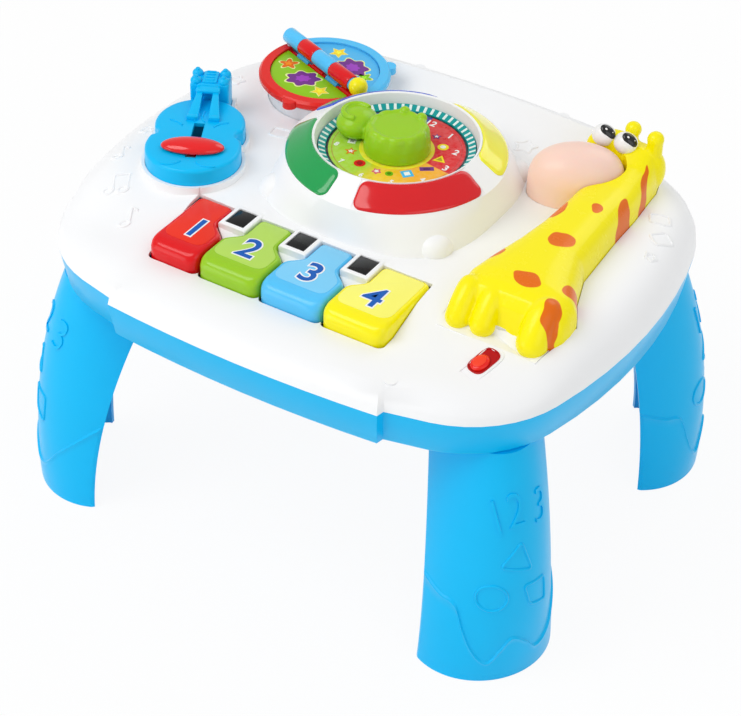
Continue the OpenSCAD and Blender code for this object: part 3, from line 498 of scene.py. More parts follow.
def plastic(name, colour, rough=0.28, drift=0.04, grain=MOULD_GRAIN, coat=0.0, glow=0.0):
    """Moulded plastic: a faint drift of the colour, fine moulding grain and handling marks in the gloss."""
    f = Finish(name)
    marks = f.spread(f.noise(90.0, 4.0, 0.6), rough - 0.02, rough + 0.03)
    f.bump(f.noise(900.0, 2.0), grain, GRAIN_DEPTH)
    gloss = {"Specular_IOR_Level": SHEEN, "IOR": 1.49, "Coat_Weight": coat, "Coat_Roughness": 0.08}
    if glow:
        gloss.update(Subsurface_Weight=glow, Subsurface_Scale=GLOW_DEPTH)
    return f.surface(f.drift(colour, drift), marks, **gloss)


def spotted(name, colour, spot_colour, spots):
    """Glossy plastic with rounded spots: each spot is its middle, its two half sizes and its turn."""
    f = Finish(name)
    centred = f.vector("SUBTRACT", f.noise(70.0, 1.0, 0.5, "Color"), (0.5, 0.5, 0.5))
    moved = f.vector("MULTIPLY_ADD", centred, (SPOT_WOBBLE, SPOT_WOBBLE, 0.0), f.coords)
    near = None
    for x, y, a, b, turn in spots:
        fit = f.node(
            "ShaderNodeMapping", Location=(x * MM, y * MM, 0), Rotation=(0, 0, math.radians(turn)),
            Scale=(a * MM, b * MM, 1000),
        )
        fit.vector_type = "TEXTURE"
        f.link(moved, fit.inputs["Vector"])
        here = f.vector("LENGTH", fit.outputs[0])
        near = f.math("MINIMUM", near, here) if near else here
    inside = f.spread(near, 1.0, 0.0, 0.97, 1.02)
    tone = f.mix(inside, f.drift(colour, 0.02), linear(spot_colour))
    f.bump(f.noise(900.0, 2.0), MOULD_GRAIN, GRAIN_DEPTH)
    marks = f.spread(f.noise(90.0, 4.0, 0.6), 0.2, 0.3)
    return f.surface(tone, marks, Specular_IOR_Level=SHEEN, Coat_Weight=0.1, Coat_Roughness=0.1)


def metal(name, colour, rough=0.3):
    """Plain metal with fine lines and small stains."""
    f = Finish(name)
    base = linear(colour)
    tone = f.mix(f.noise(60.0, 3.0), tinted(base, 0.85), tinted(base, 1.05))
    f.bump(f.noise(2200.0, 2.0), 0.15, 0.00004)
    return f.surface(tone, f.spread(f.noise(240.0, 3.0), rough - 0.06, rough + 0.1), Metallic=1.0)


def board(name, colour):
    """Solder mask over faint copper tracks."""
    f = Finish(name)
    base = linear(colour)
    grid = f.node("ShaderNodeTexBrick", Scale=260.0, Mortar_Size=0.05)
    f.link(f.coords, grid.inputs["Vector"])
    tracks = grid.outputs["Fac"]
    f.bump(tracks, 0.2, 0.00005)
    return f.surface(f.mix(tracks, base, tinted(base, 1.9)), f.spread(f.noise(120.0), 0.3, 0.45))


def polar_print(name, centre, stops, rings=()):
    """A printed disc: colours by angle round the centre, in degrees, and flat rings by radius over them."""
    f = Finish(name)
    shift = f.node("ShaderNodeMapping", Location=(-centre[0] * MM, -centre[1] * MM, 0))
    f.link(f.coords, shift.inputs["Vector"])
    parts = f.node("ShaderNodeSeparateXYZ")
    f.link(shift.outputs[0], parts.inputs[0])
    turn = f.math("ARCTAN2", parts.outputs["Y"], parts.outputs["X"])
    ramp = f.node("ShaderNodeValToRGB")
    f.link(f.spread(turn, 0.0, 1.0, -math.pi, math.pi), ramp.inputs[0])
    bar = ramp.color_ramp.elements
    while len(bar) < len(stops):
        bar.new(0.5)
    for stop, (angle, colour) in zip(bar, stops):
        stop.position = (angle + 180) / 360
        stop.color = (*linear(colour), 1)
    flat = f.node("ShaderNodeCombineXYZ")
    for axis in "XY":
        f.link(parts.outputs[axis], flat.inputs[axis])
    radius = f.vector("LENGTH", flat.outputs[0])
    tone = ramp.outputs[0]
    for inner, outer, colour, share in rings:
        inside = f.spread(radius, 0.0, share, inner * MM - 1e-4, inner * MM)
        outside = f.spread(radius, 1.0, 0.0, outer * MM - 1e-4, outer * MM)
        tone = f.mix(f.math("MULTIPLY", inside, outside), tone, linear(colour))
    speckled = f.mix(f.spread(f.noise(400.0), 0.0, 0.08), tone, (1, 1, 1))
    f.bump(f.noise(1200.0), 0.08, GRAIN_DEPTH)
    return f.surface(speckled, f.spread(f.noise(120.0, 4.0), 0.26, 0.34), Specular_IOR_Level=SHEEN)


WHITE = (0.965, 0.968, 0.972)
BLUE = (0.0, 0.74, 0.965)
SKY = (0.33, 0.77, 0.98)
RED = (0.88, 0.02, 0.06)
YELLOW = (1.0, 0.945, 0.0)
ORANGE = (0.91, 0.43, 0.02)
LIME = (0.60, 0.80, 0.12)
PEACH = (0.99, 0.845, 0.785)
NAVY = (0.08, 0.22, 0.62)
TEAL = (0.05, 0.62, 0.62)
PURPLE = (0.47, 0.20, 0.56)
BLACK = (0.02, 0.02, 0.025)

made_finishes = {}


def finish(name, maker, *args, **options):
    """The named finish, made once."""
    if name not in made_finishes:
        made_finishes[name] = maker(name, *args, **options)
    return made_finishes[name]


def gloss(name, colour, **options):
    """The named plastic, made once."""
    return finish(name, plastic, colour, **options)


def printed(colour):
    """The flat print of that colour, made once."""
    code = "%02x%02x%02x" % tuple(int(255 * min(1, c)) for c in colour[:3])
    return gloss("print " + code, colour, rough=0.35)


def number_white():
    return gloss("number white", (0.97, 0.97, 0.97), rough=0.35)


def look():
    return bpy.context.scene.activity_table


def relief_height():
    """Height of the raised marks in millimetres."""
    return look().relief / MM


def shell_white():
    return gloss("shell white", look().shell_colour, rough=0.34, drift=0.004)


def tray_blue():
    return gloss("tray blue", look().tray_colour, rough=0.3, drift=0.015)


# ---- property groups ----


def colour_setting(name, description, default):
    return FloatVectorProperty(
        name=name, description=description, subtype="COLOR", size=3, min=0, max=1, default=default
    )


def number_setting(name, description, low, high, default, **options):
    return FloatProperty(name=name, description=description, min=low, max=high, default=default, **options)


class TableLook(bpy.types.PropertyGroup):
    """Colours of the whole table."""

    shell_colour: colour_setting("Shell", "Colour of the white deck and pedestal", WHITE)
    tray_colour: colour_setting("Tray and legs", "Colour of the tray and legs", BLUE)
    giraffe_colour: colour_setting("Giraffe", "Colour of the giraffe's body", YELLOW)
    relief: number_setting(
        "Relief", "Height of the raised marks on legs and deck", 0.0002, 0.002, 0.0009, unit="LENGTH"
    )


class StageLook(bpy.types.PropertyGroup):
    """Floor and light."""

    lamp_power: number_setting("Lamp power", "Power of the main softbox", 1, 200, 13.5, subtype="POWER")
    room_light: number_setting("Room light", "Strength of the even light of the room", 0, 2, 0.6)
    floor_colour: colour_setting("Floor", "Colour of the floor", (0.98, 0.98, 0.98))


# ---- shells and reliefs ----


class TABLE_OT_shells(bpy.types.Operator):
    """Deck, tray and pedestal with their corner domes and raised marks."""

    bl_idname = "activity_table.shells"
    bl_label = "Shells"

    def execute(self, context):
        white, deck = shell_white(), surface_of("top_shell")
        moulded("base_shell", "tray", tray_blue(), angle=30)
        plates = [toe_plate(deck), switch_plate()]
        moulded("top_shell", "deck", white, angle=38, extra=plates)
        moulded("console_pedestal", "pedestal", white, angle=40, extra=pedestal_extras())
        piece("deck_marks", drape(deck_marks(relief_height()), deck), white)
        return {"FINISHED"}


CORNER_DOME, CORNER_X, CORNER_Y = 11, 54, 46
# The white seat ring under the lenses, in section: radius and height
SEAT = ((50.4, 232.4), (66.5, 221.4), (64.2, 219.9), (50.4, 229.8))
# Places on the deck: stars as x, y, turn, size and points, then boxes and notes as x, y and turn
STARS = ((45, 97, 10, 8, 5), (-159, -16, 20, 5, 6), (161, 38, 0, 4, 5), (-146, 62, 0, 6, 5))
BOXES = ((149, 74, 31), (158, 58, 60), (-88, 26, 10))
NOTES = ((-156, -50, 30), (-142, -78, 28), (-118, -94, 26))


def pedestal_extras():
    """The domes at the pedestal's four corners and the ring that the lenses sit on."""
    corners = [(sx * CORNER_X, sy * CORNER_Y) for sx in (-1, 1) for sy in (-1, 1)]
    spots = [place(DIAL.x + x, DIAL.y + y, DECK_Z + 1, scale=(1, 1, 0.85)) for x, y in corners]
    extra = [ball(CORNER_DOME, spot) for spot in spots]
    extra.append(add(shape(), turned(SEAT, 144, ring=True), place(DIAL.x, DIAL.y)))
    return extra


def deck_marks(lift):
    """Stars, boxes and music notes in outline, to be laid on the deck."""
    marks = shape()
    for x, y, turn, size, points in STARS:
        star = rounded(star_points(points, size, size * 0.55), [1.2], 3)
        add(marks, bead(star, lift, True), place(x, y, 0, turn))
    for x, y, turn in BOXES:
        add(marks, bead(rounded(box_points(6, 4.5), [2.5], 4), lift, True), place(x, y, 0, turn))
    for i, (x, y, turn) in enumerate(NOTES):
        add(marks, note_mark(lift, i % 2), place(x, y, 0, turn))
    return marks


def switch_place():
    return place(*SWITCH, SWITCH_TURN, -SWITCH_TILT)


def switch_plate():
    """White pad round the switch's oval, over the slot."""
    return add(shape(), slab(rounded(box_points(14.2, 7.4, 0.6), [6.5]), -1.6, 0.4, 0.35, 3), switch_place())


def toe_plate(deck):
    """The deck carried on round the giraffe's toes, at the height of the deck's rim."""
    outline = rounded([(88.3, -80.9), (150.7, -80.8), (154.2, -60), (87, -60)], [0.6, 0.6, 2, 2], 4)
    middle = Vector((sum(x for x, y in outline), sum(y for x, y in outline))) / len(outline)
    heights = [deck.find_nearest(Vector((x, y, DECK_Z)))[0].z - 0.12 for x, y in outline]
    rings = []
    for share in (1.0, 0.9, 0.6, 0.3, 0.05):
        rings.append([(*middle.lerp(spot, share), z) for spot, z in zip(outline, heights)])
    return loft([[(x, y, z - 2) for x, y, z in rings[0]]] + rings)


def note_mark(lift, pair):
    """A raised music note, single or as a joined pair."""
    bm = shape()
    span = 9 if pair else 0
    for x in (0, span)[: pair + 1]:
        add(bm, bead(ring_points(24, lambda _: 2.6), lift, True), place(x, 0, 0, 20, scale=(1.25, 0.85, 1)))
    stem = [(2.8, 1), (2.8, 12), (2.8 + max(span, 4), 13 if pair else 9.5)]
    add(bm, bead(stem + ([(2.8 + span, 1)] if pair else []), lift))
    return bm


class TABLE_OT_legs(bpy.types.Operator):
    """Four bowed legs with a wavy sock line, numbers and shapes raised on each."""

    bl_idname = "activity_table.legs"
    bl_label = "Legs"

    def execute(self, context):
        for sy, row in ((-1, "front"), (1, "back")):
            for sx, side in ((-1, "left"), (1, "right")):
                node, bm = f"leg_{row}_{side}", leg_shell(sx, sy, relief_height())
                piece(f"bowed_{node}", bm, tray_blue(), cad=(node,), angle=50, recalc=False)
        return {"FINISHED"}


LEG_DIR, LEG_TOP_DIR = 29.0, 45.5
LEG_FOOT, LEG_TOP = Vector((138.5, 101.4)), Vector((116.5, 73.0))
FOOT_HALF, FOOT_BOW, TOP_HALF, TOP_BOW = 42.5, 39.3, 31.0, 51.5
LEG_WALL, PLUG_R, PLUG_H = 3.0, 10.0, 14.0


def leg_point(s, t, lift=0.0):
    """A point of a leg's outer face: s along its bow, t up its height."""
    f = t**1.9
    a = math.radians(LEG_DIR + (LEG_TOP_DIR - LEG_DIR) * f)
    out, along = Vector((math.cos(a), math.sin(a))), Vector((-math.sin(a), math.cos(a)))
    half = FOOT_HALF + (TOP_HALF - FOOT_HALF) * t + lift
    bow = FOOT_BOW + (TOP_BOW - FOOT_BOW) * t + lift
    b = math.pi / 2 * s
    at = LEG_FOOT * (1 - f) + LEG_TOP * f + out * bow * math.cos(b) + along * half * math.sin(b)
    return Vector((at.x, at.y, TRAY_Z * t))


# The wavy line round the foot, seen from outside: place along the bow and height
SOCK = (
    (-1.2, 64), (-1.0, 60), (-0.76, 55), (-0.60, 52), (-0.52, 37), (-0.42, 23), (-0.28, 15), (-0.17, 24),
    (-0.07, 32), (0.08, 26), (0.21, 17), (0.42, 21), (0.63, 37), (1.0, 60), (1.2, 64),
)
SOCK_STEPS = (-1.6, -1.1, -0.8, -0.5, -0.2, 0.1, 0.4, 0.8, 1.3, 2.0)
LEG_ROWS_LOW, LEG_ROWS_HIGH, LEG_COLUMNS = 10, 40, 150
BOW_LENGTH = 71.3


def sock_height(s):
    """The wavy line's height at a place along the bow, eased between its points."""
    for i in range(1, len(SOCK) - 2):
        (a, low), (b, high) = SOCK[i], SOCK[i + 1]
        if s <= b:
            f = (s - a) / (b - a)
            start = (high - SOCK[i - 1][1]) / (b - SOCK[i - 1][0]) * (b - a)
            end = (SOCK[i + 2][1] - low) / (SOCK[i + 2][0] - a) * (b - a)
            step = f * f * (3 - 2 * f)
            return low + (high - low) * step + start * (f**3 - 2 * f * f + f) + end * (f**3 - f * f)
    return SOCK[-2][1]


def sock_lift(over, lift):
    """How far the wall stands out below the wavy line: a rounded lip, then the sock's own step."""
    rise = min(1.0, max(0.0, (over + 0.6) / 1.1))
    lip = math.exp(-((over - 0.9) / 0.9) ** 2)
    return lift * (0.75 * rise * rise * (3 - 2 * rise) + 0.65 * lip)


def leg_shell(sx, sy, lift):
    """The leg's wall: a grid that follows the wavy line, bent to the leg's bow, then given its thickness."""
    side = 1 if sx * sy > 0 else -1
    rows = LEG_ROWS_LOW + len(SOCK_STEPS) + LEG_ROWS_HIGH - 1
    bm = shape()
    bmesh.ops.create_grid(bm, x_segments=LEG_COLUMNS, y_segments=rows, size=1)
    for vert in bm.verts:
        s, row = vert.co.x, round((vert.co.y + 1) / 2 * rows)
        sock = sock_height(s * side)
        if row < LEG_ROWS_LOW:
            z = (sock - SOCK_STEPS[-1]) * row / LEG_ROWS_LOW
        elif row < LEG_ROWS_LOW + len(SOCK_STEPS):
            z = sock - SOCK_STEPS[len(SOCK_STEPS) - 1 - (row - LEG_ROWS_LOW)]
        else:
            share = (row - LEG_ROWS_LOW - len(SOCK_STEPS) + 1) / LEG_ROWS_HIGH
            z = (sock - SOCK_STEPS[0]) * (1 - share) + TRAY_Z * share
        edge = min(1.0, (1 - abs(s)) / 0.03)
        vert.co = leg_point(s, z / TRAY_Z, sock_lift(sock - z, lift) * edge)
    top = [e for e in bm.edges if e.is_boundary and all(v.co.z > TRAY_Z - 0.01 for v in e.verts)]
    plate = bmesh.ops.contextual_create(bm, geom=top)["faces"]
    thicken(bm, LEG_WALL, Vector((0.7, 0.7, 0)), plate)
    marks = leg_marks(lift)
    for vert in marks.verts:
        u, v, w = vert.co
        vert.co = leg_point(side * u / BOW_LENGTH, v / TRAY_Z, w)
    if side < 0:
        bmesh.ops.reverse_faces(marks, faces=marks.faces)
    add(bm, marks)
    across = Vector((math.cos(math.radians(LEG_TOP_DIR)), math.sin(math.radians(LEG_TOP_DIR))))
    plug = LEG_TOP + 0.4 * TOP_BOW * across
    add(bm, disc(PLUG_R, TRAY_Z - 1, TRAY_Z + PLUG_H, 48, 1.5), place(plug.x, plug.y))
    bmesh.ops.transform(bm, matrix=Matrix.Diagonal((sx, sy, 1, 1)), verts=bm.verts)
    if side < 0:
        bmesh.ops.reverse_faces(bm, faces=bm.faces)
    return bm


def leg_marks(lift):
    """Three numbers, a triangle, a ring and a square, drawn flat as they look from outside."""
    marks = shape()
    for text, x, z, tilt in (("1", -14.3, 112, 12), ("2", 0.7, 116, 0), ("3", 23.5, 112, -6)):
        add(marks, lettering(text, 31, lift + 0.5, -0.35), place(x, z, -0.5, tilt))
    bmesh.ops.subdivide_edges(marks, edges=[e for e in marks.edges if e.calc_length() > 2.5], cuts=2)
    bmesh.ops.triangulate(marks, faces=marks.faces)
    triangle = rounded([(3, 97), (-13.5, 82), (10.5, 77)], [3.5])
    square = rounded([(3.6, 67), (23.5, 66), (24.2, 48), (8.6, 52)], [3.0])
    oval = [(-19.3 + 10.7 * x, 61.5 + 8.5 * y) for x, y in ring_points(48, lambda _: 1)]
    for outline in (triangle, square, oval):
        add(marks, bead(dense(outline, 2.0), lift, True))
    return marks


def dense(points, step):
    """A closed outline with points no farther apart than the step."""
    out = []
    for i, end in enumerate(points):
        a, b = Vector(points[i - 1]), Vector(end)
        count = max(1, math.ceil((b - a).length / step))
        out += [a.lerp(b, j / count) for j in range(1, count + 1)] if (b - a).length > 1e-3 else []
    return out


# ---- keyboard ----

KEY_COLOURS = (RED, LIME, SKY, YELLOW)
LABEL_COLOURS = ((0.93, 0.20, 0.12), (0.72, 0.87, 0.38), (0.50, 0.82, 0.98), (0.99, 0.97, 0.45))
KEY_SLOTS = ("red_plastic", "green_plastic", "sky_plastic", "yellow_plastic")
FIRST_KEY, LAST_KEY, HALF_GAP, INSERT_L = 34.5, 41.5, 0.4, 15.2
NUMBER_SIZE, NUMBER_RAISED = 25, 0.26


def key_sides(k):
    """The left and right edges of key k."""
    left = FIRST_GAP - FIRST_KEY if k == 0 else FIRST_GAP + KEY_PITCH * (k - 1) + HALF_GAP
    right = FIRST_GAP + 2 * KEY_PITCH + LAST_KEY if k == 3 else FIRST_GAP + KEY_PITCH * k - HALF_GAP
    return left, right


def key_outline(k, inset=0.0, front=0.0):
    """A key's plan, drawn in by the inset, with its back notches round the black inserts' frames."""
    left, right = key_sides(k)
    x0, x1 = left + inset, right - inset
    y0, y1 = KEY_FRONT + front + inset, KEY_BACK - inset * 0.4
    notch, step = POST_HALF + 0.2 + inset * 0.6, KEY_BACK - INSERT_L - 4.5 - inset * 0.7
    points = [(x0, y0), (x1, y0)]
    points += [(x1, step - 6), (right - notch, step + 2), (right - notch, y1)] if k < 3 else [(x1, y1)]
    points += [(left + notch, y1), (left + notch, step + 2), (x0, step - 6)] if k > 0 else [(x0, y1)]
    return points


class TABLE_OT_keys(bpy.types.Operator):
    """Four coloured keys with label panels and numbers, and the black inserts in their frames."""

    bl_idname = "activity_table.keys"
    bl_label = "Keys"

    def execute(self, context):
        for k in range(4):
            self.key(k)
        self.inserts()
        return {"FINISHED"}

    def key(self, k):
        name, body, slot = f"key_{k + 1}", f"key_{k + 1}_body", KEY_SLOTS[k]
        left, right = key_sides(k)
        middle = (left + (POST_HALF if k else 0) + right - (POST_HALF if k < 3 else 0)) / 2
        cap = key_cap(k)
        add(cap, disc(3, KEY_LOW + 2, KEY_TOP - 5, 24), place(middle, KEY_BACK - 30))
        add(cap, disc(4, -5, 5, 32, matrix=place(middle, KEY_BACK + 7.5, DECK_Z - 10, tilt=90)))
        add(cap, brick(middle - 5, middle + 5, KEY_BACK - 4, KEY_BACK + 7, DECK_Z - 12.5, DECK_Z - 7.5))
        glossy = gloss(f"key {k + 1}", KEY_COLOURS[k], rough=0.2, coat=0.3, glow=0.05)
        piece(name + "_cap", cap, glossy, body, (name,), 40)
        label = slab(rounded(key_outline(k, 3.0, 7.6), KEY_CORNERS), KEY_TOP - 0.3, KEY_TOP + 0.18, 0.12)
        label_tone = gloss(f"key label {k + 1}", LABEL_COLOURS[k], rough=0.3, drift=0.05)
        piece(name + "_label", label, label_tone, body)
        number_blue = gloss("number blue", (0.05, 0.36, 0.72), rough=0.35)
        for part, bold, z, tone, part_slot in (
            ("_number_rim", 1.3, 0.14, number_white(), "white_plastic"),
            ("_number", 0.35, 0.3, number_blue, "lens_blue"),
        ):
            number = lettering(str(k + 1), NUMBER_SIZE, NUMBER_RAISED, bold)
            at = place((left + right) / 2 + (1 if k == 0 else 0), KEY_FRONT + 24, KEY_TOP + z)
            piece(name + part, add(shape(), number, at), tone, body)

    def inserts(self):
        black, white = gloss("piano black", BLACK, rough=0.22, coat=0.25), shell_white()
        caps, frames = shape(), shape()
        for k in range(3):
            x = FIRST_GAP + KEY_PITCH * k
            y0, y1 = KEY_BACK + 1 - INSERT_L, KEY_BACK + 1
            half = POST_HALF - 0.1
            add(caps, brick(x - 6.4, x + 6.4, y0, y1, DECK_Z - 8, DECK_Z - 0.5, 0.5))
            outer = brick(x - half, x + half, y0 - 3, y1 + 3.4, DECK_Z - 2, DECK_Z - 0.1, 0.9, 3)
            add(frames, carve(outer, brick(x - 6.5, x + 6.5, y0 - 0.35, y1 + 0.35, DECK_Z - 9, DECK_Z + 4)))
        piece("black_inserts", caps, black, cad=("black_key_caps",))
        piece("insert_frames", frames, white)


KEY_CORNERS = (7.5, 7.5, 3, 3, 3, 3, 3, 3)


def key_roll(y):
    """How far a key's top falls away towards its front."""
    return 3.4 * max(0.0, (KEY_FRONT + 9.5 - y) / 9.5) ** 2


def key_cap(k):
    """One key: upright sides, a broad round over every top edge, and a front that rolls down."""
    levels = [(KEY_LOW + 1.3, 0, 0), (KEY_TOP - 9, 0, 0), (KEY_TOP - 4.5, 0, 0)]
    for t in range(15, 91, 15):
        a = math.radians(t)
        levels.append((KEY_TOP - 4.5 * (1 - math.sin(a)), 2.6 * (1 - math.cos(a)), 0))
    levels += [(KEY_TOP, 2.6 + 0.1 * i, 1.6 * i) for i in range(1, 6)]
    rings = []
    for z, inset, front in levels:
        outline = rounded(key_outline(k, inset, front), KEY_CORNERS)
        rings.append([(x, y, z - (key_roll(y) if z > KEY_LOW + 8 else 0)) for x, y in outline])
    return loft(rings)


# ---- clock dial ----


class TABLE_OT_dial(bpy.types.Operator):
    """Printed clock face with numbers and small pictures, tick ring, lenses and turning knob."""

    bl_idname = "activity_table.dial"
    bl_label = "Dial"

    def execute(self, context):
        face = finish("clock print", polar_print, DIAL, FACE_SECTORS, FACE_RINGS)
        moulded("dial_face", "clock_face", face, bevel=0.15)
        moulded("tick_ring", "tick_band", gloss("tick teal", TEAL, rough=0.35))
        self.ticks()
        self.numbers()
        self.pictures()
        for node, (middle, colour) in LENSES.items():
            name = node.replace("_", " ")
            glass = gloss(name, colour, rough=0.12, drift=0.05, coat=0.7, grain=0.05, glow=0.2)
            piece(node + "_cover", lens_cover(middle), glass, cad=(node,), angle=50)
        green = gloss("knob green", (0.60, 0.80, 0.10), rough=0.24, coat=0.2, glow=0.12)
        piece("turning_knob", knob(), green, "knob", ("dial_knob",), 50)
        return {"FINISHED"}

    def ticks(self):
        bars = shape()
        for i in range(60):
            bar = brick(42.7, 46.5, -0.85, 0.85, -0.1, 0.15)
            add(bars, bar, place(DIAL.x, DIAL.y, FACE_Z + 0.5, 6 * i + 3))
        for vert in bars.verts:
            vert.co.z += ((vert.co.xy - DIAL.xy).length - 42.3) * TICK_SLOPE
        piece("tick_bars", bars, gloss("tick white", (0.93, 0.97, 0.96), rough=0.35))

    def numbers(self):
        digits = shape()
        for k in range(12):
            size, radius = (7.4, 35) if k < 4 else (5.2, 36)
            add(digits, lettering(str(k or 12), size, 0.25, 0.12), on_face(86 - 30 * k, radius))
        piece("clock_numbers", digits, number_white())

    def pictures(self):
        for i, (angle, colour, size, kind) in enumerate(CLOCK_PICTURES):
            at = on_face(angle, PICTURE_RADIUS, 12 * i)
            core = tinted(colour, 0.72) if i % 2 else (0.98, 0.98, 0.96)
            for layer, (share, tint) in enumerate(((1.0, colour), (0.5, core))):
                points = picture_points(kind, size * share)
                bm = add(shape(), slab(points, PRINT_STEP * layer, PRINT_STEP * (layer + 1)), at)
                piece(f"clock_picture_{i}_{layer}", bm, printed(tint))


CLOCK_LIME, CLOCK_WARM, CLOCK_YELLOW = (0.66, 0.84, 0.16), (0.98, 0.70, 0.08), (0.99, 0.90, 0.1)
# Colours of the clock face: from which angle each one runs, in degrees
FACE_SECTORS = (
    (-180, CLOCK_LIME), (-105, CLOCK_LIME), (-80, (0.98, 0.83, 0.1)), (-40, CLOCK_WARM), (-9.5, CLOCK_WARM),
    (-8.8, RED), (88.6, RED), (89.4, NAVY), (150, NAVY), (151, CLOCK_LIME),
)
# Flat rings over them: inner and outer radius, colour and strength
FACE_RINGS = (
    (0, 22.5, (0.98, 0.93, 0.1), 0.9), (38.4, 38.9, (0.72, 0.05, 0.05), 0.6),
    (40.9, 43, (0.03, 0.05, 0.12), 1.0),
)
TICK_SLOPE = 0.444
PRINT_STEP = 0.12
PICTURE_RADIUS = 27.5
CLOCK_PICTURES = (
    (37, CLOCK_YELLOW, 4.2, "disc"), (8, CLOCK_YELLOW, 4.6, "triangle"), (62, PURPLE, 3.0, "star"),
    (-19, PURPLE, 4.2, "bar"), (-46, (0.3, 0.75, 0.95), 4.2, "square"), (-68, (0.45, 0.75, 0.1), 3.0, "disc"),
    (-84, (0.9, 0.35, 0.5), 3.0, "flower"), (-111, RED, 4.4, "disc"), (-140, ORANGE, 4.0, "star"),
    (-163, (0.95, 0.95, 0.95), 3.0, "square"), (172, (0.1, 0.55, 0.85), 4.2, "bar"),
    (120, CLOCK_YELLOW, 3.6, "star"),
)


def on_face(angle, radius, turn=0.0):
    """A place on the clock face, at an angle in degrees and a radius."""
    a = math.radians(angle)
    return place(DIAL.x + radius * math.cos(a), DIAL.y + radius * math.sin(a), FACE_Z + 0.02, turn)


def picture_points(kind, size):
    """The outline of one of the small printed pictures."""
    if kind == "disc":
        return ring_points(28, lambda _: size * 0.8)
    if kind == "flower":
        return ring_points(60, lambda angle: size * (0.8 + 0.2 * math.cos(math.radians(5 * angle))))
    if kind == "bar":
        return box_points(size, size * 0.45)
    if kind == "square":
        return box_points(size * 0.8, size * 0.8)
    return star_points(3, size, size * 0.5) if kind == "triangle" else star_points(5, size, size * 0.45)


# Each lens: its middle's direction in degrees and its colour
LENSES = {
    "lens_red": (-45, (0.86, 0.02, 0.07)), "lens_yellow": (45, (0.99, 0.94, 0.22)),
    "lens_blue": (135, (0.12, 0.30, 0.80)), "lens_green": (225, (0.02, 0.62, 0.30)),
}
LENS_IN, LENS_OUT = Vector((50.7, 232.8)), Vector((66.5, 222.4))
LENS_CORNER, LENS_PUFF, LENS_WALL = 5.5, 1.6, 1.4


def lens_cover(middle, span=74.0):
    """A pillowed cover with rounded corners, bent round the dial's sloping collar."""
    bm = shape()
    bmesh.ops.create_grid(bm, x_segments=72, y_segments=24, size=1)
    slope = LENS_OUT - LENS_IN
    half, down = slope.length / 2, slope.normalized()
    out, centre = Vector((-down.y, down.x)), (LENS_IN + LENS_OUT) / 2
    for vert in bm.verts:
        a, b = math.sin(math.pi / 2 * vert.co.x), math.sin(math.pi / 2 * vert.co.y)
        over = max(0.0, abs(b) * half - (half - LENS_CORNER))
        short = LENS_CORNER - math.sqrt(max(0.0, LENS_CORNER**2 - over**2))
        reach = math.radians(span / 2) - short / centre.x
        puff = (max(0.0, 1 - abs(a) ** 24) * max(0.0, 1 - abs(b) ** 6)) ** 0.35
        at = centre + down * half * b + out * (LENS_PUFF * puff - 0.9)
        turn = math.radians(middle) + reach * a
        vert.co = (DIAL.x + at.x * math.cos(turn), DIAL.y + at.x * math.sin(turn), at.y)
    thicken(bm, LENS_WALL, Vector((0, 0, 1)))
    return bm


# The knob's half section: radius and height
KNOB_PROFILE = (
    (0, 0), (20, 0), (20, 4), (19.7, 8), (19.0, 11.5), (18.1, 14), (17.2, 15.8), (16.0, 16.7), (14.8, 16.7),
    (13.8, 15.9), (7, 16.1), (0, 16.2),
)
CROWN_R, CROWN_LOW, LOBE = 14.2, 9, 1.1


def knob():
    """The knob: a round dome with a scalloped crown, and a rounded head with a curved ridge on one side."""
    z = FACE_Z + 0.3
    bm = turned(KNOB_PROFILE, 144)
    for vert in bm.verts:
        radius, angle = vert.co.xy.length, math.atan2(vert.co.y, vert.co.x)
        if radius > CROWN_R and vert.co.z > CROWN_LOW:
            lobe = LOBE * abs(math.cos(6 * angle)) * min(1.0, (vert.co.z - CROWN_LOW) / 5)
            vert.co.xy = vert.co.xy.normalized() * (radius + lobe - 0.3)
    bmesh.ops.translate(bm, vec=(0, 0, z), verts=bm.verts)
    head = place(0, 0, 0, 176)
    add(bm, ball(12.5, head @ place(29, 0, z + 6.8, scale=(1.0, 1.08, 0.72))))
    add(bm, brick(10, 28, -8.5, 8.5, z + 1.5, z + 10.5, 2.5, 3, head))
    for x, y in ((-5, 16.2), (7, 15.6)):
        add(bm, ball(3.4, place(x, y, z + 15.2)))
    ridge = arc_points(29.5, 0, 8.2, -115, 115, 20)
    add(bm, bead([(x, y, z + 14.4) for x, y in ridge], 1.8), head)
    bm = melt(bm, 0.45, 3)
    for vert in bm.verts:
        vert.co.z = max(vert.co.z, z + 0.35)
    add(bm, disc(3, 211.6, z + 0.5, 32))
    bmesh.ops.translate(bm, vec=(DIAL.x, DIAL.y, 0), verts=bm.verts)
    return bm


# ---- drum ----


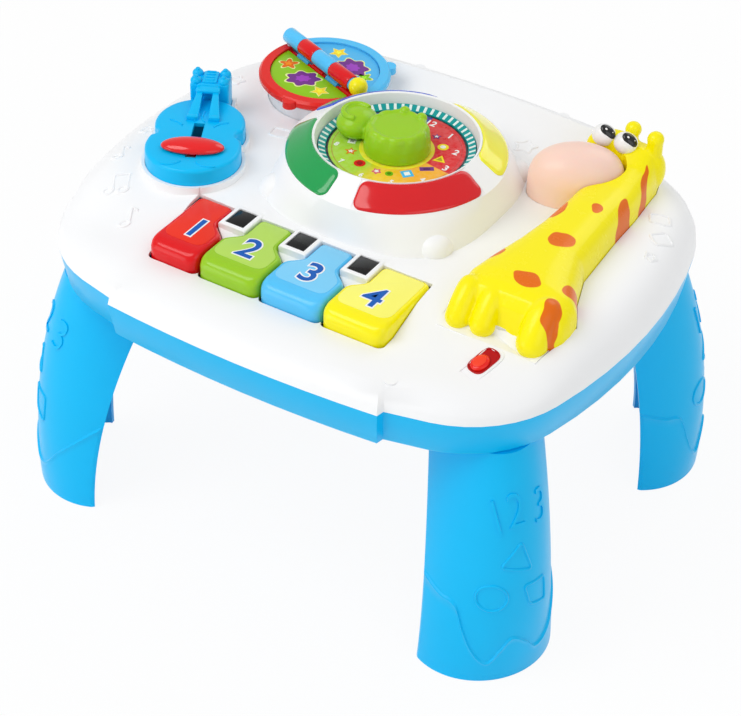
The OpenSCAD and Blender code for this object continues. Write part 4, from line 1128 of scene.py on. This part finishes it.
class TABLE_OT_drum(bpy.types.Operator):
    """Two-part drum head with its print, and the stick that lies across it."""

    bl_idname = "activity_table.drum"
    bl_label = "Drum"

    def execute(self, context):
        moulded("drum_pedestal", "drum_stand", shell_white(), bevel=0.3)
        rim, skin = {"rough": 0.24, "coat": 0.2, "glow": 0.05}, {"rough": 0.3}
        for node, name, colour, options, slot, body, angle, bevel in (
            ("drum_left_rim", "drum_rim_red", (0.90, 0.10, 0.06), rim, "red_plastic", LEFT_PAD, 32, 0.35),
            ("drum_right_rim", "drum_rim_sky", SKY, rim, "sky_plastic", RIGHT_PAD, 32, 0.35),
            ("drum_left_skin", "drum_head_green", (0.56, 0.79, 0.10), skin, GREEN_PRINT, LEFT_PAD, 34, 0.15),
            ("drum_right_skin", "drum_head_sky", (0.33, 0.74, 0.95), skin, SKY_PRINT, RIGHT_PAD, 34, 0.15),
        ):
            moulded(node, name, gloss(name.replace("_", " "), colour, **options), body, angle, bevel)
        self.print_shapes()
        for part, name, colour, slot in (
            ("shaft", "stick_sky", SKY, "sky_plastic"), ("bands", "stick_red", RED, "red_plastic"),
            ("tip", "stick_tip", YELLOW, "yellow_plastic"),
        ):
            glossy = gloss(name.replace("_", " "), colour, rough=0.2, coat=0.3, glow=0.05)
            moulded("drumstick_" + part, name, glossy, angle=36, bevel=0.3)
        return {"FINISHED"}

    def print_shapes(self):
        """Stars and many-lobed flowers, each a coloured shape with a paler rim and core."""
        for i, (x, y, size, colour, kind) in enumerate(DRUM_PRINTS):
            layers = ((1.1, (0.93, 0.95, 0.62)), (0.0, colour), (-0.55 * size, tinted(colour, 1.35)))
            wide = 1.25 if kind == "cloud" else 1
            at = place(DRUM.x, DRUM.y, 0, DRUM_TURN) @ place(x, y, DRUM_TOP - 1.2, 17 * i, scale=(wide, 1, 1))
            body, slot = (RIGHT_PAD, SKY_PRINT) if y > 0 else (LEFT_PAD, GREEN_PRINT)
            for layer, (grow, tint) in enumerate(layers):
                bm = slab(drum_print_points(kind, size + grow), 0.1 * layer - 0.02, 0.1 * layer + 0.1)
                piece(f"drum_print_{i}_{layer}", add(shape(), bm, at), printed(tint), body)


LEFT_PAD, RIGHT_PAD = "drum_left_pad", "drum_right_pad"
GREEN_PRINT, SKY_PRINT = "drum_print_green", "drum_print_sky"
# Prints on the drum: place along and across the stick, size, colour and kind
DRUM_PRINTS = (
    (6, 17, 9.5, PURPLE, "cloud"), (-14, 20, 5.5, (0.98, 0.86, 0.2), "star"),
    (20, 16, 5.0, (0.5, 0.78, 0.12), "flower"), (0, -16.5, 9.0, PURPLE, "cloud"),
    (-20, -14, 6.0, ORANGE, "flower"), (18, -16, 5.5, (0.99, 0.88, 0.15), "star"),
)


def drum_print_points(kind, reach):
    """The outline of a star, or of a flower or cloud with its count of lobes and their depth."""
    if kind == "star":
        return star_points(5, reach, reach * 0.5)
    count, depth = {"cloud": (7, 0.12), "flower": (5, 0.24)}[kind]
    return ring_points(90, lambda a: reach * (1 - depth + depth * math.cos(math.radians(count * a))))


# ---- guitar ----


def guitar_inside(x, y):
    """Whether a spot lies within the guitar's body."""
    bouts = math.hypot(x, y) < 29 or math.hypot(x - 0.5, y - 26) < 27.5
    notches = any(math.hypot(x - s * 29.5, y - 14.5) < 5.5 for s in (-1, 1))
    return bouts and not notches


def guitar_plan(count=168):
    """The guitar's outline, found outwards from its waist."""
    points = []
    for i in range(count):
        a = 2 * math.pi * (i + 0.5) / count
        low, high = 5.0, 60.0
        while high - low > 0.01:
            middle = (low + high) / 2
            inside = guitar_inside(middle * math.cos(a), 13 + middle * math.sin(a))
            low, high = (middle, high) if inside else (low, middle)
        points.append((low * math.cos(a), 13 + low * math.sin(a)))
    return points


HEAD_U = 2.0
RAIL_FOOT = (3.6, 10.2)
# Raised lines on the body, as arcs: middle, radius, start and end
GUITAR_ARCS = ((14, 33, 13, 160, 215), (13, -13, 10, 215, 290), (20, 14.5, 12, 100, 150))


def neck_rail(side, top):
    """One of the two rails that slope down from the guitar's head and spread towards their feet."""
    section = ((54.5, 8.8), (54.5, 3), (35, -1), (27, -1), (27, 2.2), (30.4, 2.8))
    bm = slab([(v, top + z) for v, z in section], 0, 1)
    for vert in bm.verts:
        v, z, across = vert.co
        outer = 10.2 - (v - 27) * 0.16
        vert.co = (side * (3.1 + across * (outer - 3.1)), v, z)
    bmesh.ops.recalc_face_normals(bm, faces=bm.faces)
    ease(bm, bm.edges[:], 0.6)
    return bm


class TABLE_OT_guitar(bpy.types.Operator):
    """Blue guitar with its head, neck, pegs and sliding red bar."""

    bl_idname = "activity_table.guitar"
    bl_label = "Guitar"

    def execute(self, context):
        top = GUITAR_TOP
        at = place(GUITAR.x, GUITAR.y, 0, GUITAR_TURN)
        body = slab(guitar_plan(), DECK_Z - 5, top, 2.4, 5)
        cavity = brick(-17, 17, -17, 20, DECK_Z - 12, top - 2.5)
        keeper_way = brick(-9.5, 10.5, 10, 27, DECK_Z - 12, top - 2.5)
        body = carve(body, brick(-2.75, 3.75, -14, 24, top - 6, top + 5), cavity, keeper_way)
        head = place(HEAD_U)
        add(body, brick(-12, 12, 54, 70, DECK_Z - 5, top + 9.3, 1.4, 3, head))
        add(body, brick(-4.6, 4.6, 55.5, 68.5, top + 8.8, top + 10.6, 0.8, 2, head))
        for v in (57, 60.2, 63.4, 66.6):
            add(body, brick(-3, 3, v, v + 1.3, top + 10.2, top + 11.2, 0.4, 2, head))
        for s in (-1, 1):
            for v in (57.6, 66.4):
                add(body, ball(3.5, head @ place(s * 8.6, v, top + 9.6, scale=(1, 1, 0.9)), 28, 18))
                add(body, disc(1.5, top + 12.2, top + 13.4, 24, 0.5), head @ place(s * 8.6, v))
            add(body, neck_rail(s, top), head)
            add(body, brick(*sorted(s * x for x in RAIL_FOOT), 26.6, 30.4, top - 1, top + 2.8, 0.8, 2, head))
            for x, y, r, start, end in GUITAR_ARCS:
                line = [(s * x0, y0, top + 0.1) for x0, y0 in arc_points(x, y, r, start, end)]
                add(body, bead([point for point in line if math.hypot(point[0], point[1]) < 40], 0.6))
        add(body, brick(-7.5, 7.5, 48, 55, top + 5.6, top + 8.8, 1.2, 3, head))
        for x, y in ((-20, -10), (20, -10), (0, 45)):
            add(body, disc(3.5, FLOOR_Z, top - 2, 24), place(x, y))
        piece("guitar", add(shape(), body, at), tray_blue(), cad=("guitar_body",), angle=40)
        bar = ball(1, place(0.5, -4.8, 0, scale=(19.2, 8.5, 1)), 64, 32)
        for vert in bar.verts:
            vert.co.z = top + 1.6 + (4.8 * vert.co.z if vert.co.z > 0 else 1.2 * vert.co.z)
        add(bar, brick(-2.4, 3.4, -7.8, -1.8, top - 3, top + 2))
        red = gloss("slider red", (0.90, 0.0, 0.03), rough=0.12, coat=0.8, glow=0.05)
        piece("sliding_bar", add(shape(), bar, at), red, "guitar_slider", ("guitar_bar",), 50)
        return {"FINISHED"}


# ---- giraffe ----

# Stations along the body: place, shift of the middle, half width and share of the full height
BODY_LINE = (
    (112, -3, 8, 0.8), (106, -3, 15, 1.25), (96, -4, 19, 1.38), (85, -1, 17, 1.02), (62, -0.5, 18.5, 0.93),
    (38, 0, 18.5, 1.0), (14, 0, 20, 1.0), (-8, -1, 22.5, 1.0), (-30, 0, 29, 1.0), (-46, 2.5, 35, 0.98),
    (-55, 3, 35, 0.92), (-61, 2.6, 34.5, 0.8), (-65.5, 2, 33, 0.5), (-69, 1.5, 31, -0.2),
)
# Each toe: its place across, its radius and how far its tip reaches forward
GIRAFFE_TOES = ((97.0, 7.6, -72.0), (112.0, 7.6, -71.0), (143.2, 9.4, -70.5))
# Spots on the body: middle, half sizes and turn
GIRAFFE_SPOTS = (
    (124, -4, 8.4, 6.4, 25), (125, -46.5, 9.2, 6.0, -12), (125, 35.5, 3.6, 5.4, 20), (96, -31, 6.0, 3.8, 60),
    (107, 25, 3.4, 10.0, 4), (137.5, 47, 3.8, 12.5, 20), (134.5, 78, 2.2, 12, 22), (152, -36, 4.6, 10.0, -32),
    (149, -61, 5.2, 9.5, 14),
)
# Each horn: its place, the radii of its stem and its ball, and the ball's height over the deck
GIRAFFE_HORNS = ((113, 103, 3.6, 5.0, 33.5), (128.6, 101.5, 4.8, 5.2, 32.5))
SNOUT_A, SNOUT_B, SNOUT_GAP = 29, 20, 0.3
EYE_GAZE, EYE_ROLL = (0.589, -0.277, 0.76), 118.0


class TABLE_OT_giraffe(bpy.types.Operator):
    """The giraffe: spotted body, toes, horns, eyes and the snout button."""

    bl_idname = "activity_table.giraffe"
    bl_label = "Giraffe"

    def execute(self, context):
        yellow = finish("giraffe coat", spotted, look().giraffe_colour, ORANGE, GIRAFFE_SPOTS)
        around = place(SNOUT.x, SNOUT.y, 0, SNOUT_TURN, scale=(SNOUT_A + SNOUT_GAP, SNOUT_B + SNOUT_GAP, 1))
        body = carve(giraffe_form(), disc(1, 150, 250, 72, matrix=around))
        for x, y in ((-8, -20), (4, -52), (8, 62)):
            add(body, disc(3.5, FLOOR_Z, DECK_Z + 6, 24), place(GIRAFFE_X + x, y))
        piece("giraffe", body, yellow, cad=("giraffe_body",), angle=60)
        peach = gloss("snout peach", PEACH, rough=0.3, drift=0.02, coat=0.1, glow=0.12)
        snout = add(shape(), snout_form(), place(SNOUT.x, SNOUT.y, 0, SNOUT_TURN))
        piece("snout", snout, peach, "snout_button", ("giraffe_snout",), 60)
        self.face()
        return {"FINISHED"}

    def face(self):
        white = gloss("eye white", (0.97, 0.97, 0.97), rough=0.15, coat=0.6)
        black = gloss("pupil black", BLACK, rough=0.08, coat=0.8)
        eyes, pupils, glints = shape(), shape(), shape()
        for x, y in ((97.4, 96.2), (112.4, 95.4)):
            eye = place(x, y, DECK_Z + 27.6)
            add(eyes, ball(1, eye @ place(scale=(7.4, 6.8, 6.8))))
            gaze = eye @ Vector(EYE_GAZE).to_track_quat("Z", "Y").to_matrix().to_4x4() @ place(turn=EYE_ROLL)
            add(pupils, ball(1, gaze @ place(0, 0, 5.2, scale=(5.4, 3.7, 2.1))))
            add(glints, ball(1, gaze @ place(2.0, 0.5, 6.95, scale=(0.9, 0.7, 0.4)), 16, 10))
            add(glints, ball(1, gaze @ place(-2.2, -0.7, 6.8, scale=(0.6, 0.5, 0.35)), 16, 10))
        piece("eyes", eyes, white, cad=("giraffe_eyes",))
        piece("pupils", pupils, black, cad=("giraffe_pupils",))
        piece("eye_glints", glints, white)


def snout_form():
    """The snout's dome over upright sides, with a stem below."""
    bm = ball(1, place(scale=(SNOUT_A, SNOUT_B, 1)), 72, 40)
    for vert in bm.verts:
        high = vert.co.z
        if high < 0:
            out = Vector((vert.co.x / SNOUT_A, vert.co.y / SNOUT_B))
            if out.length > 1e-4:
                out = out.normalized() * min(1.0, out.length * 3)
            vert.co.x, vert.co.y = out.x * SNOUT_A, out.y * SNOUT_B
            vert.co.z = DECK_Z - 12 if high < -0.5 else DECK_Z + 6 + high * 36
        else:
            vert.co.z = DECK_Z + 6 + SNOUT_RISE * high**0.64
    return add(bm, disc(4, DECK_Z - 18, DECK_Z - 8, 24))


def body_ring(y, shift, half, share):
    """A section across the giraffe's body: a squared arch with straight sides below the deck."""
    middle, low, rise = GIRAFFE_X + shift, DECK_Z - 4, 20 * share + 4
    ring = []
    for i in range(26):
        t = math.pi * i / 25
        c = math.cos(t)
        ring.append((middle + half * math.copysign(abs(c) ** 0.62, c), y, low + rise * math.sin(t) ** 0.6))
    return ring + [(middle - half, y, DECK_Z - 14), (middle + half, y, DECK_Z - 14)]


def giraffe_form():
    """Body, feet, brow and horns run together into one moulding."""
    bm = shape()
    rings = []
    for station in BODY_LINE:
        ring = [bm.verts.new(point) for point in body_ring(*station)]
        rings.append([bm.edges.new((ring[i], ring[(i + 1) % len(ring)])) for i in range(len(ring))])
    for a, b in zip(rings, rings[1:]):
        bmesh.ops.bridge_loops(bm, edges=a + b)
    for end in (rings[0], rings[-1]):
        bmesh.ops.contextual_create(bm, geom=end)
    bmesh.ops.recalc_face_normals(bm, faces=bm.faces)
    for x, r, tip in GIRAFFE_TOES:
        for step in range(9):
            f = step / 8
            add(bm, ball(r, place(x, tip + 13 * (1 - f), DECK_Z + 9.2 - 11.7 * f**1.5), 28, 20))
    for x, y, stem, r, z in GIRAFFE_HORNS:
        add(bm, disc(stem, DECK_Z + 5, DECK_Z + z, 32), place(x, y))
        add(bm, ball(r, place(x, y, DECK_Z + z), 28, 18))
    add(bm, ball(1, place(104.5, 100, DECK_Z + 18.5, 8, scale=(18.5, 9.3, 12))))
    add(bm, ball(1, place(127.5, 101, DECK_Z + 11, -10, scale=(9, 9.5, 14))))
    return melt(bm, 0.8, 4)


# ---- switch and works ----


class TABLE_OT_works(bpy.types.Operator):
    """Power switch, and finishes for the screws, boards, cells, speaker and other works."""

    bl_idname = "activity_table.works"
    bl_label = "Switch and works"

    def execute(self, context):
        self.switch()
        moulded("battery_door", "battery_cover", tray_blue(), "battery_cover", bevel=0.4)
        for tone, nodes in self.looks():
            for node in nodes.split():
                NODES[node].data.materials.clear()
                NODES[node].data.materials.append(tone)
        return {"FINISHED"}

    def switch(self):
        at = place(*SWITCH, SWITCH_TURN, -SWITCH_TILT)
        oval = rounded([(-6.9, -6), (12.4, -6), (12.4, 6), (-6.9, 6)], [5.9])
        inner = [(2.75 + 9.65 * 0.93 * x, 6 * 0.89 * y) for x, y in ((-1, -1), (1, -1), (1, 1), (-1, 1))]
        rim = add(shape(), carve(slab(oval, -1.2, 1.1, 0.4, 3), slab(rounded(inner, [5.3]), 0.6, 4)), at)
        dark_red = gloss("switch dark red", (0.72, 0.02, 0.04), rough=0.35)
        moulded("power_switch_body", "switch_housing", dark_red, bevel=0.3, extra=[rim])
        button = ball(1, place(0.1, 0, 0, scale=(6.0, 5.0, 1)), 48, 24)
        for vert in button.verts:
            vert.co.z = 0.65 + 2.7 * vert.co.z**0.45 if vert.co.z > 0 else 0.65
        cap = ball(1, place(0.1, 0, 3.2, scale=(4.4, 3.4, 0.5)), 40, 16)
        red = gloss("switch red", (0.93, 0.10, 0.05), rough=0.2, coat=0.4)
        coral = gloss("switch coral", (0.97, 0.27, 0.16), rough=0.3)
        button, cap = add(shape(), button, at), add(shape(), cap, at)
        piece("switch_button", button, red, "switch_slider", ("power_switch_button",), 50)
        piece("switch_button_cap", cap, coral, "switch_slider")

    def looks(self):
        """Each finish with the CAD nodes that wear it."""
        steel_nodes = "case_screws battery_door_screw key_hinge_rod drum_hinge_rod speaker_magnet"
        return (
            (finish("screw steel", metal, (0.75, 0.76, 0.78)), steel_nodes),
            (finish("board green", board, (0.05, 0.36, 0.2)), "main_board light_board drum_board snout_board"),
            (finish("contact nickel", metal, (0.82, 0.8, 0.75), 0.25), "battery_contacts"),
            (gloss("works black", (0.06, 0.06, 0.07), rough=0.45), "battery_box board_chips"),
            (gloss("works grey", (0.82, 0.83, 0.84), rough=0.5), "key_bracket dial_encoder guitar_bar_keeper"),
            (gloss("cell wrap", (0.15, 0.42, 0.2), rough=0.3), "batteries"),
            (gloss("speaker cone", (0.12, 0.12, 0.13), rough=0.8, grain=0.4), "speaker"),
            (gloss("dome rubber", (0.2, 0.21, 0.22), rough=0.7), "key_contact_strip drum_domes"),
            (gloss("diode", (0.96, 0.95, 0.85), rough=0.1, coat=0.5), "light_diodes"),
            (tray_blue(), "speaker_clamp"),
        )


# ---- stage ----


class TABLE_OT_stage(bpy.types.Operator):
    """Camera, floor, soft lights and room."""

    bl_idname = "activity_table.stage"
    bl_label = "Stage"

    def execute(self, context):
        stage = context.scene.stage_look
        self.camera()
        self.floor(stage)
        for name, spot, size, share in LAMPS:
            self.lamp(name, spot, size, stage.lamp_power * share)
        self.room(stage)
        context.scene.view_settings.view_transform = "Standard"
        return {"FINISHED"}

    def camera(self):
        azimuth, elevation, roll = (math.radians(angle) for angle in CAMERA_ANGLES)
        right = Vector((math.cos(azimuth), math.sin(azimuth), 0))
        level = math.cos(elevation)
        back = Vector((math.sin(azimuth) * level, -math.cos(azimuth) * level, math.sin(elevation)))
        up = back.cross(right)
        turned_right = math.cos(roll) * right + math.sin(roll) * up
        turned_up = math.cos(roll) * up - math.sin(roll) * right
        spot = CAMERA_TARGET + back * CAMERA_DISTANCE
        data = bpy.data.cameras.new("camera")
        data.sensor_width = SENSOR_WIDTH
        data.lens = FOCAL_PIXELS / PICTURE_WIDTH * SENSOR_WIDTH
        data.clip_end = 20
        camera = show(bpy.data.objects.new("camera", data))
        turn = Matrix((turned_right, turned_up, back)).transposed().to_4x4()
        camera.matrix_world = Matrix.Translation(spot * MM) @ turn
        bpy.context.scene.camera = camera

    def floor(self, stage):
        bm = shape()
        bmesh.ops.create_grid(bm, x_segments=2, y_segments=2, size=6)
        made = holder_of(bm, "floor")
        f = Finish("floor")
        colour = linear(stage.floor_colour)
        tone = f.mix(f.spread(f.noise(3.0), 0, 1), tinted(colour, 0.985), colour)
        f.link(tone, f.shader.inputs["Base Color"])
        f.shader.inputs["Roughness"].default_value = 0.9
        glow = f.node("ShaderNodeEmission", Color=(1, 1, 1, 1))
        path = f.node("ShaderNodeLightPath").outputs
        seen = f.math("MAXIMUM", path["Is Camera Ray"], path["Is Glossy Ray"])
        share = f.spread(seen, 0.0, FLOOR_GLOW, 0.0, 1.0)
        blend = f.node("ShaderNodeMixShader")
        f.link(share, blend.inputs[0])
        f.link(f.shader.outputs[0], blend.inputs[1])
        f.link(glow.outputs[0], blend.inputs[2])
        f.link(blend.outputs[0], f.out.inputs[0])
        made.data.materials.append(f.material)

    def lamp(self, name, spot, size, power):
        data = bpy.data.lights.new(name, "AREA")
        data.shape = "DISK"
        data.size = size
        data.energy = power
        made = show(bpy.data.objects.new(name, data))
        made.location = spot
        made.rotation_euler = (LAMP_AIM - Vector(spot)).to_track_quat("-Z", "Y").to_euler()

    def room(self, stage):
        world = bpy.data.worlds.new("room")
        world.use_nodes = True
        nodes, links = world.node_tree.nodes, world.node_tree.links
        nodes.clear()
        out, blend = nodes.new("ShaderNodeOutputWorld"), nodes.new("ShaderNodeMixShader")
        links.new(nodes.new("ShaderNodeLightPath").outputs["Is Camera Ray"], blend.inputs[0])
        for strength, socket in ((stage.room_light, blend.inputs[1]), (1.0, blend.inputs[2])):
            white = nodes.new("ShaderNodeBackground")
            white.inputs["Color"].default_value = (1, 1, 1, 1)
            white.inputs["Strength"].default_value = strength
            links.new(white.outputs[0], socket)
        links.new(blend.outputs[0], out.inputs[0])
        bpy.context.scene.world = world


# The camera's azimuth, elevation and roll in degrees, the spot looked at and the distance to it
CAMERA_ANGLES, CAMERA_DISTANCE = (31.25, 37.99, 1.49), 1450.16
CAMERA_TARGET = Vector((-5.41, 3.99, 74.13))
FOCAL_PIXELS, PICTURE_WIDTH, SENSOR_WIDTH = 2307.95, 741, 36
FLOOR_GLOW = 0.93
LAMP_AIM = Vector((0, 0, 0.15))
# Lamps: name, place in metres, size and share of the main power
LAMPS = (
    ("softbox", (-0.7, -0.9, 1.7), 1.3, 1.0), ("fill", (1.4, -0.6, 1.0), 1.4, 0.28),
    ("back", (0.2, 1.5, 1.3), 1.2, 0.35), ("low side", (-0.9, -1.3, 0.25), 0.9, 0.22),
)


class TABLE_PT_panel(bpy.types.Panel):
    """The table's builders, in order."""

    bl_idname = "TABLE_PT_panel"
    bl_label = "Activity table"
    bl_space_type = "VIEW_3D"
    bl_region_type = "UI"
    bl_category = "Activity table"

    def draw(self, context):
        for group in (context.scene.activity_table, context.scene.stage_look):
            for name in group.bl_rna.properties.keys():
                if name not in ("rna_type", "name"):
                    self.layout.prop(group, name)
        for builder in BUILDERS:
            self.layout.operator(builder.bl_idname)


BUILDERS = (
    TABLE_OT_shells, TABLE_OT_legs, TABLE_OT_keys, TABLE_OT_dial, TABLE_OT_drum, TABLE_OT_guitar,
    TABLE_OT_giraffe, TABLE_OT_works, TABLE_OT_stage,
)
CLASSES = (TableLook, StageLook, *BUILDERS, TABLE_PT_panel)


def register():
    for kind in CLASSES:
        bpy.utils.register_class(kind)
    bpy.types.Scene.activity_table = PointerProperty(type=TableLook)
    bpy.types.Scene.stage_look = PointerProperty(type=StageLook)


def unregister():
    del bpy.types.Scene.stage_look
    del bpy.types.Scene.activity_table
    for kind in reversed(CLASSES):
        bpy.utils.unregister_class(kind)


def main():
    """Builds every piece."""
    register()
    for builder in BUILDERS:
        group, name = builder.bl_idname.split(".")
        getattr(getattr(bpy.ops, group), name)()


if __name__ == "__main__":
    main()
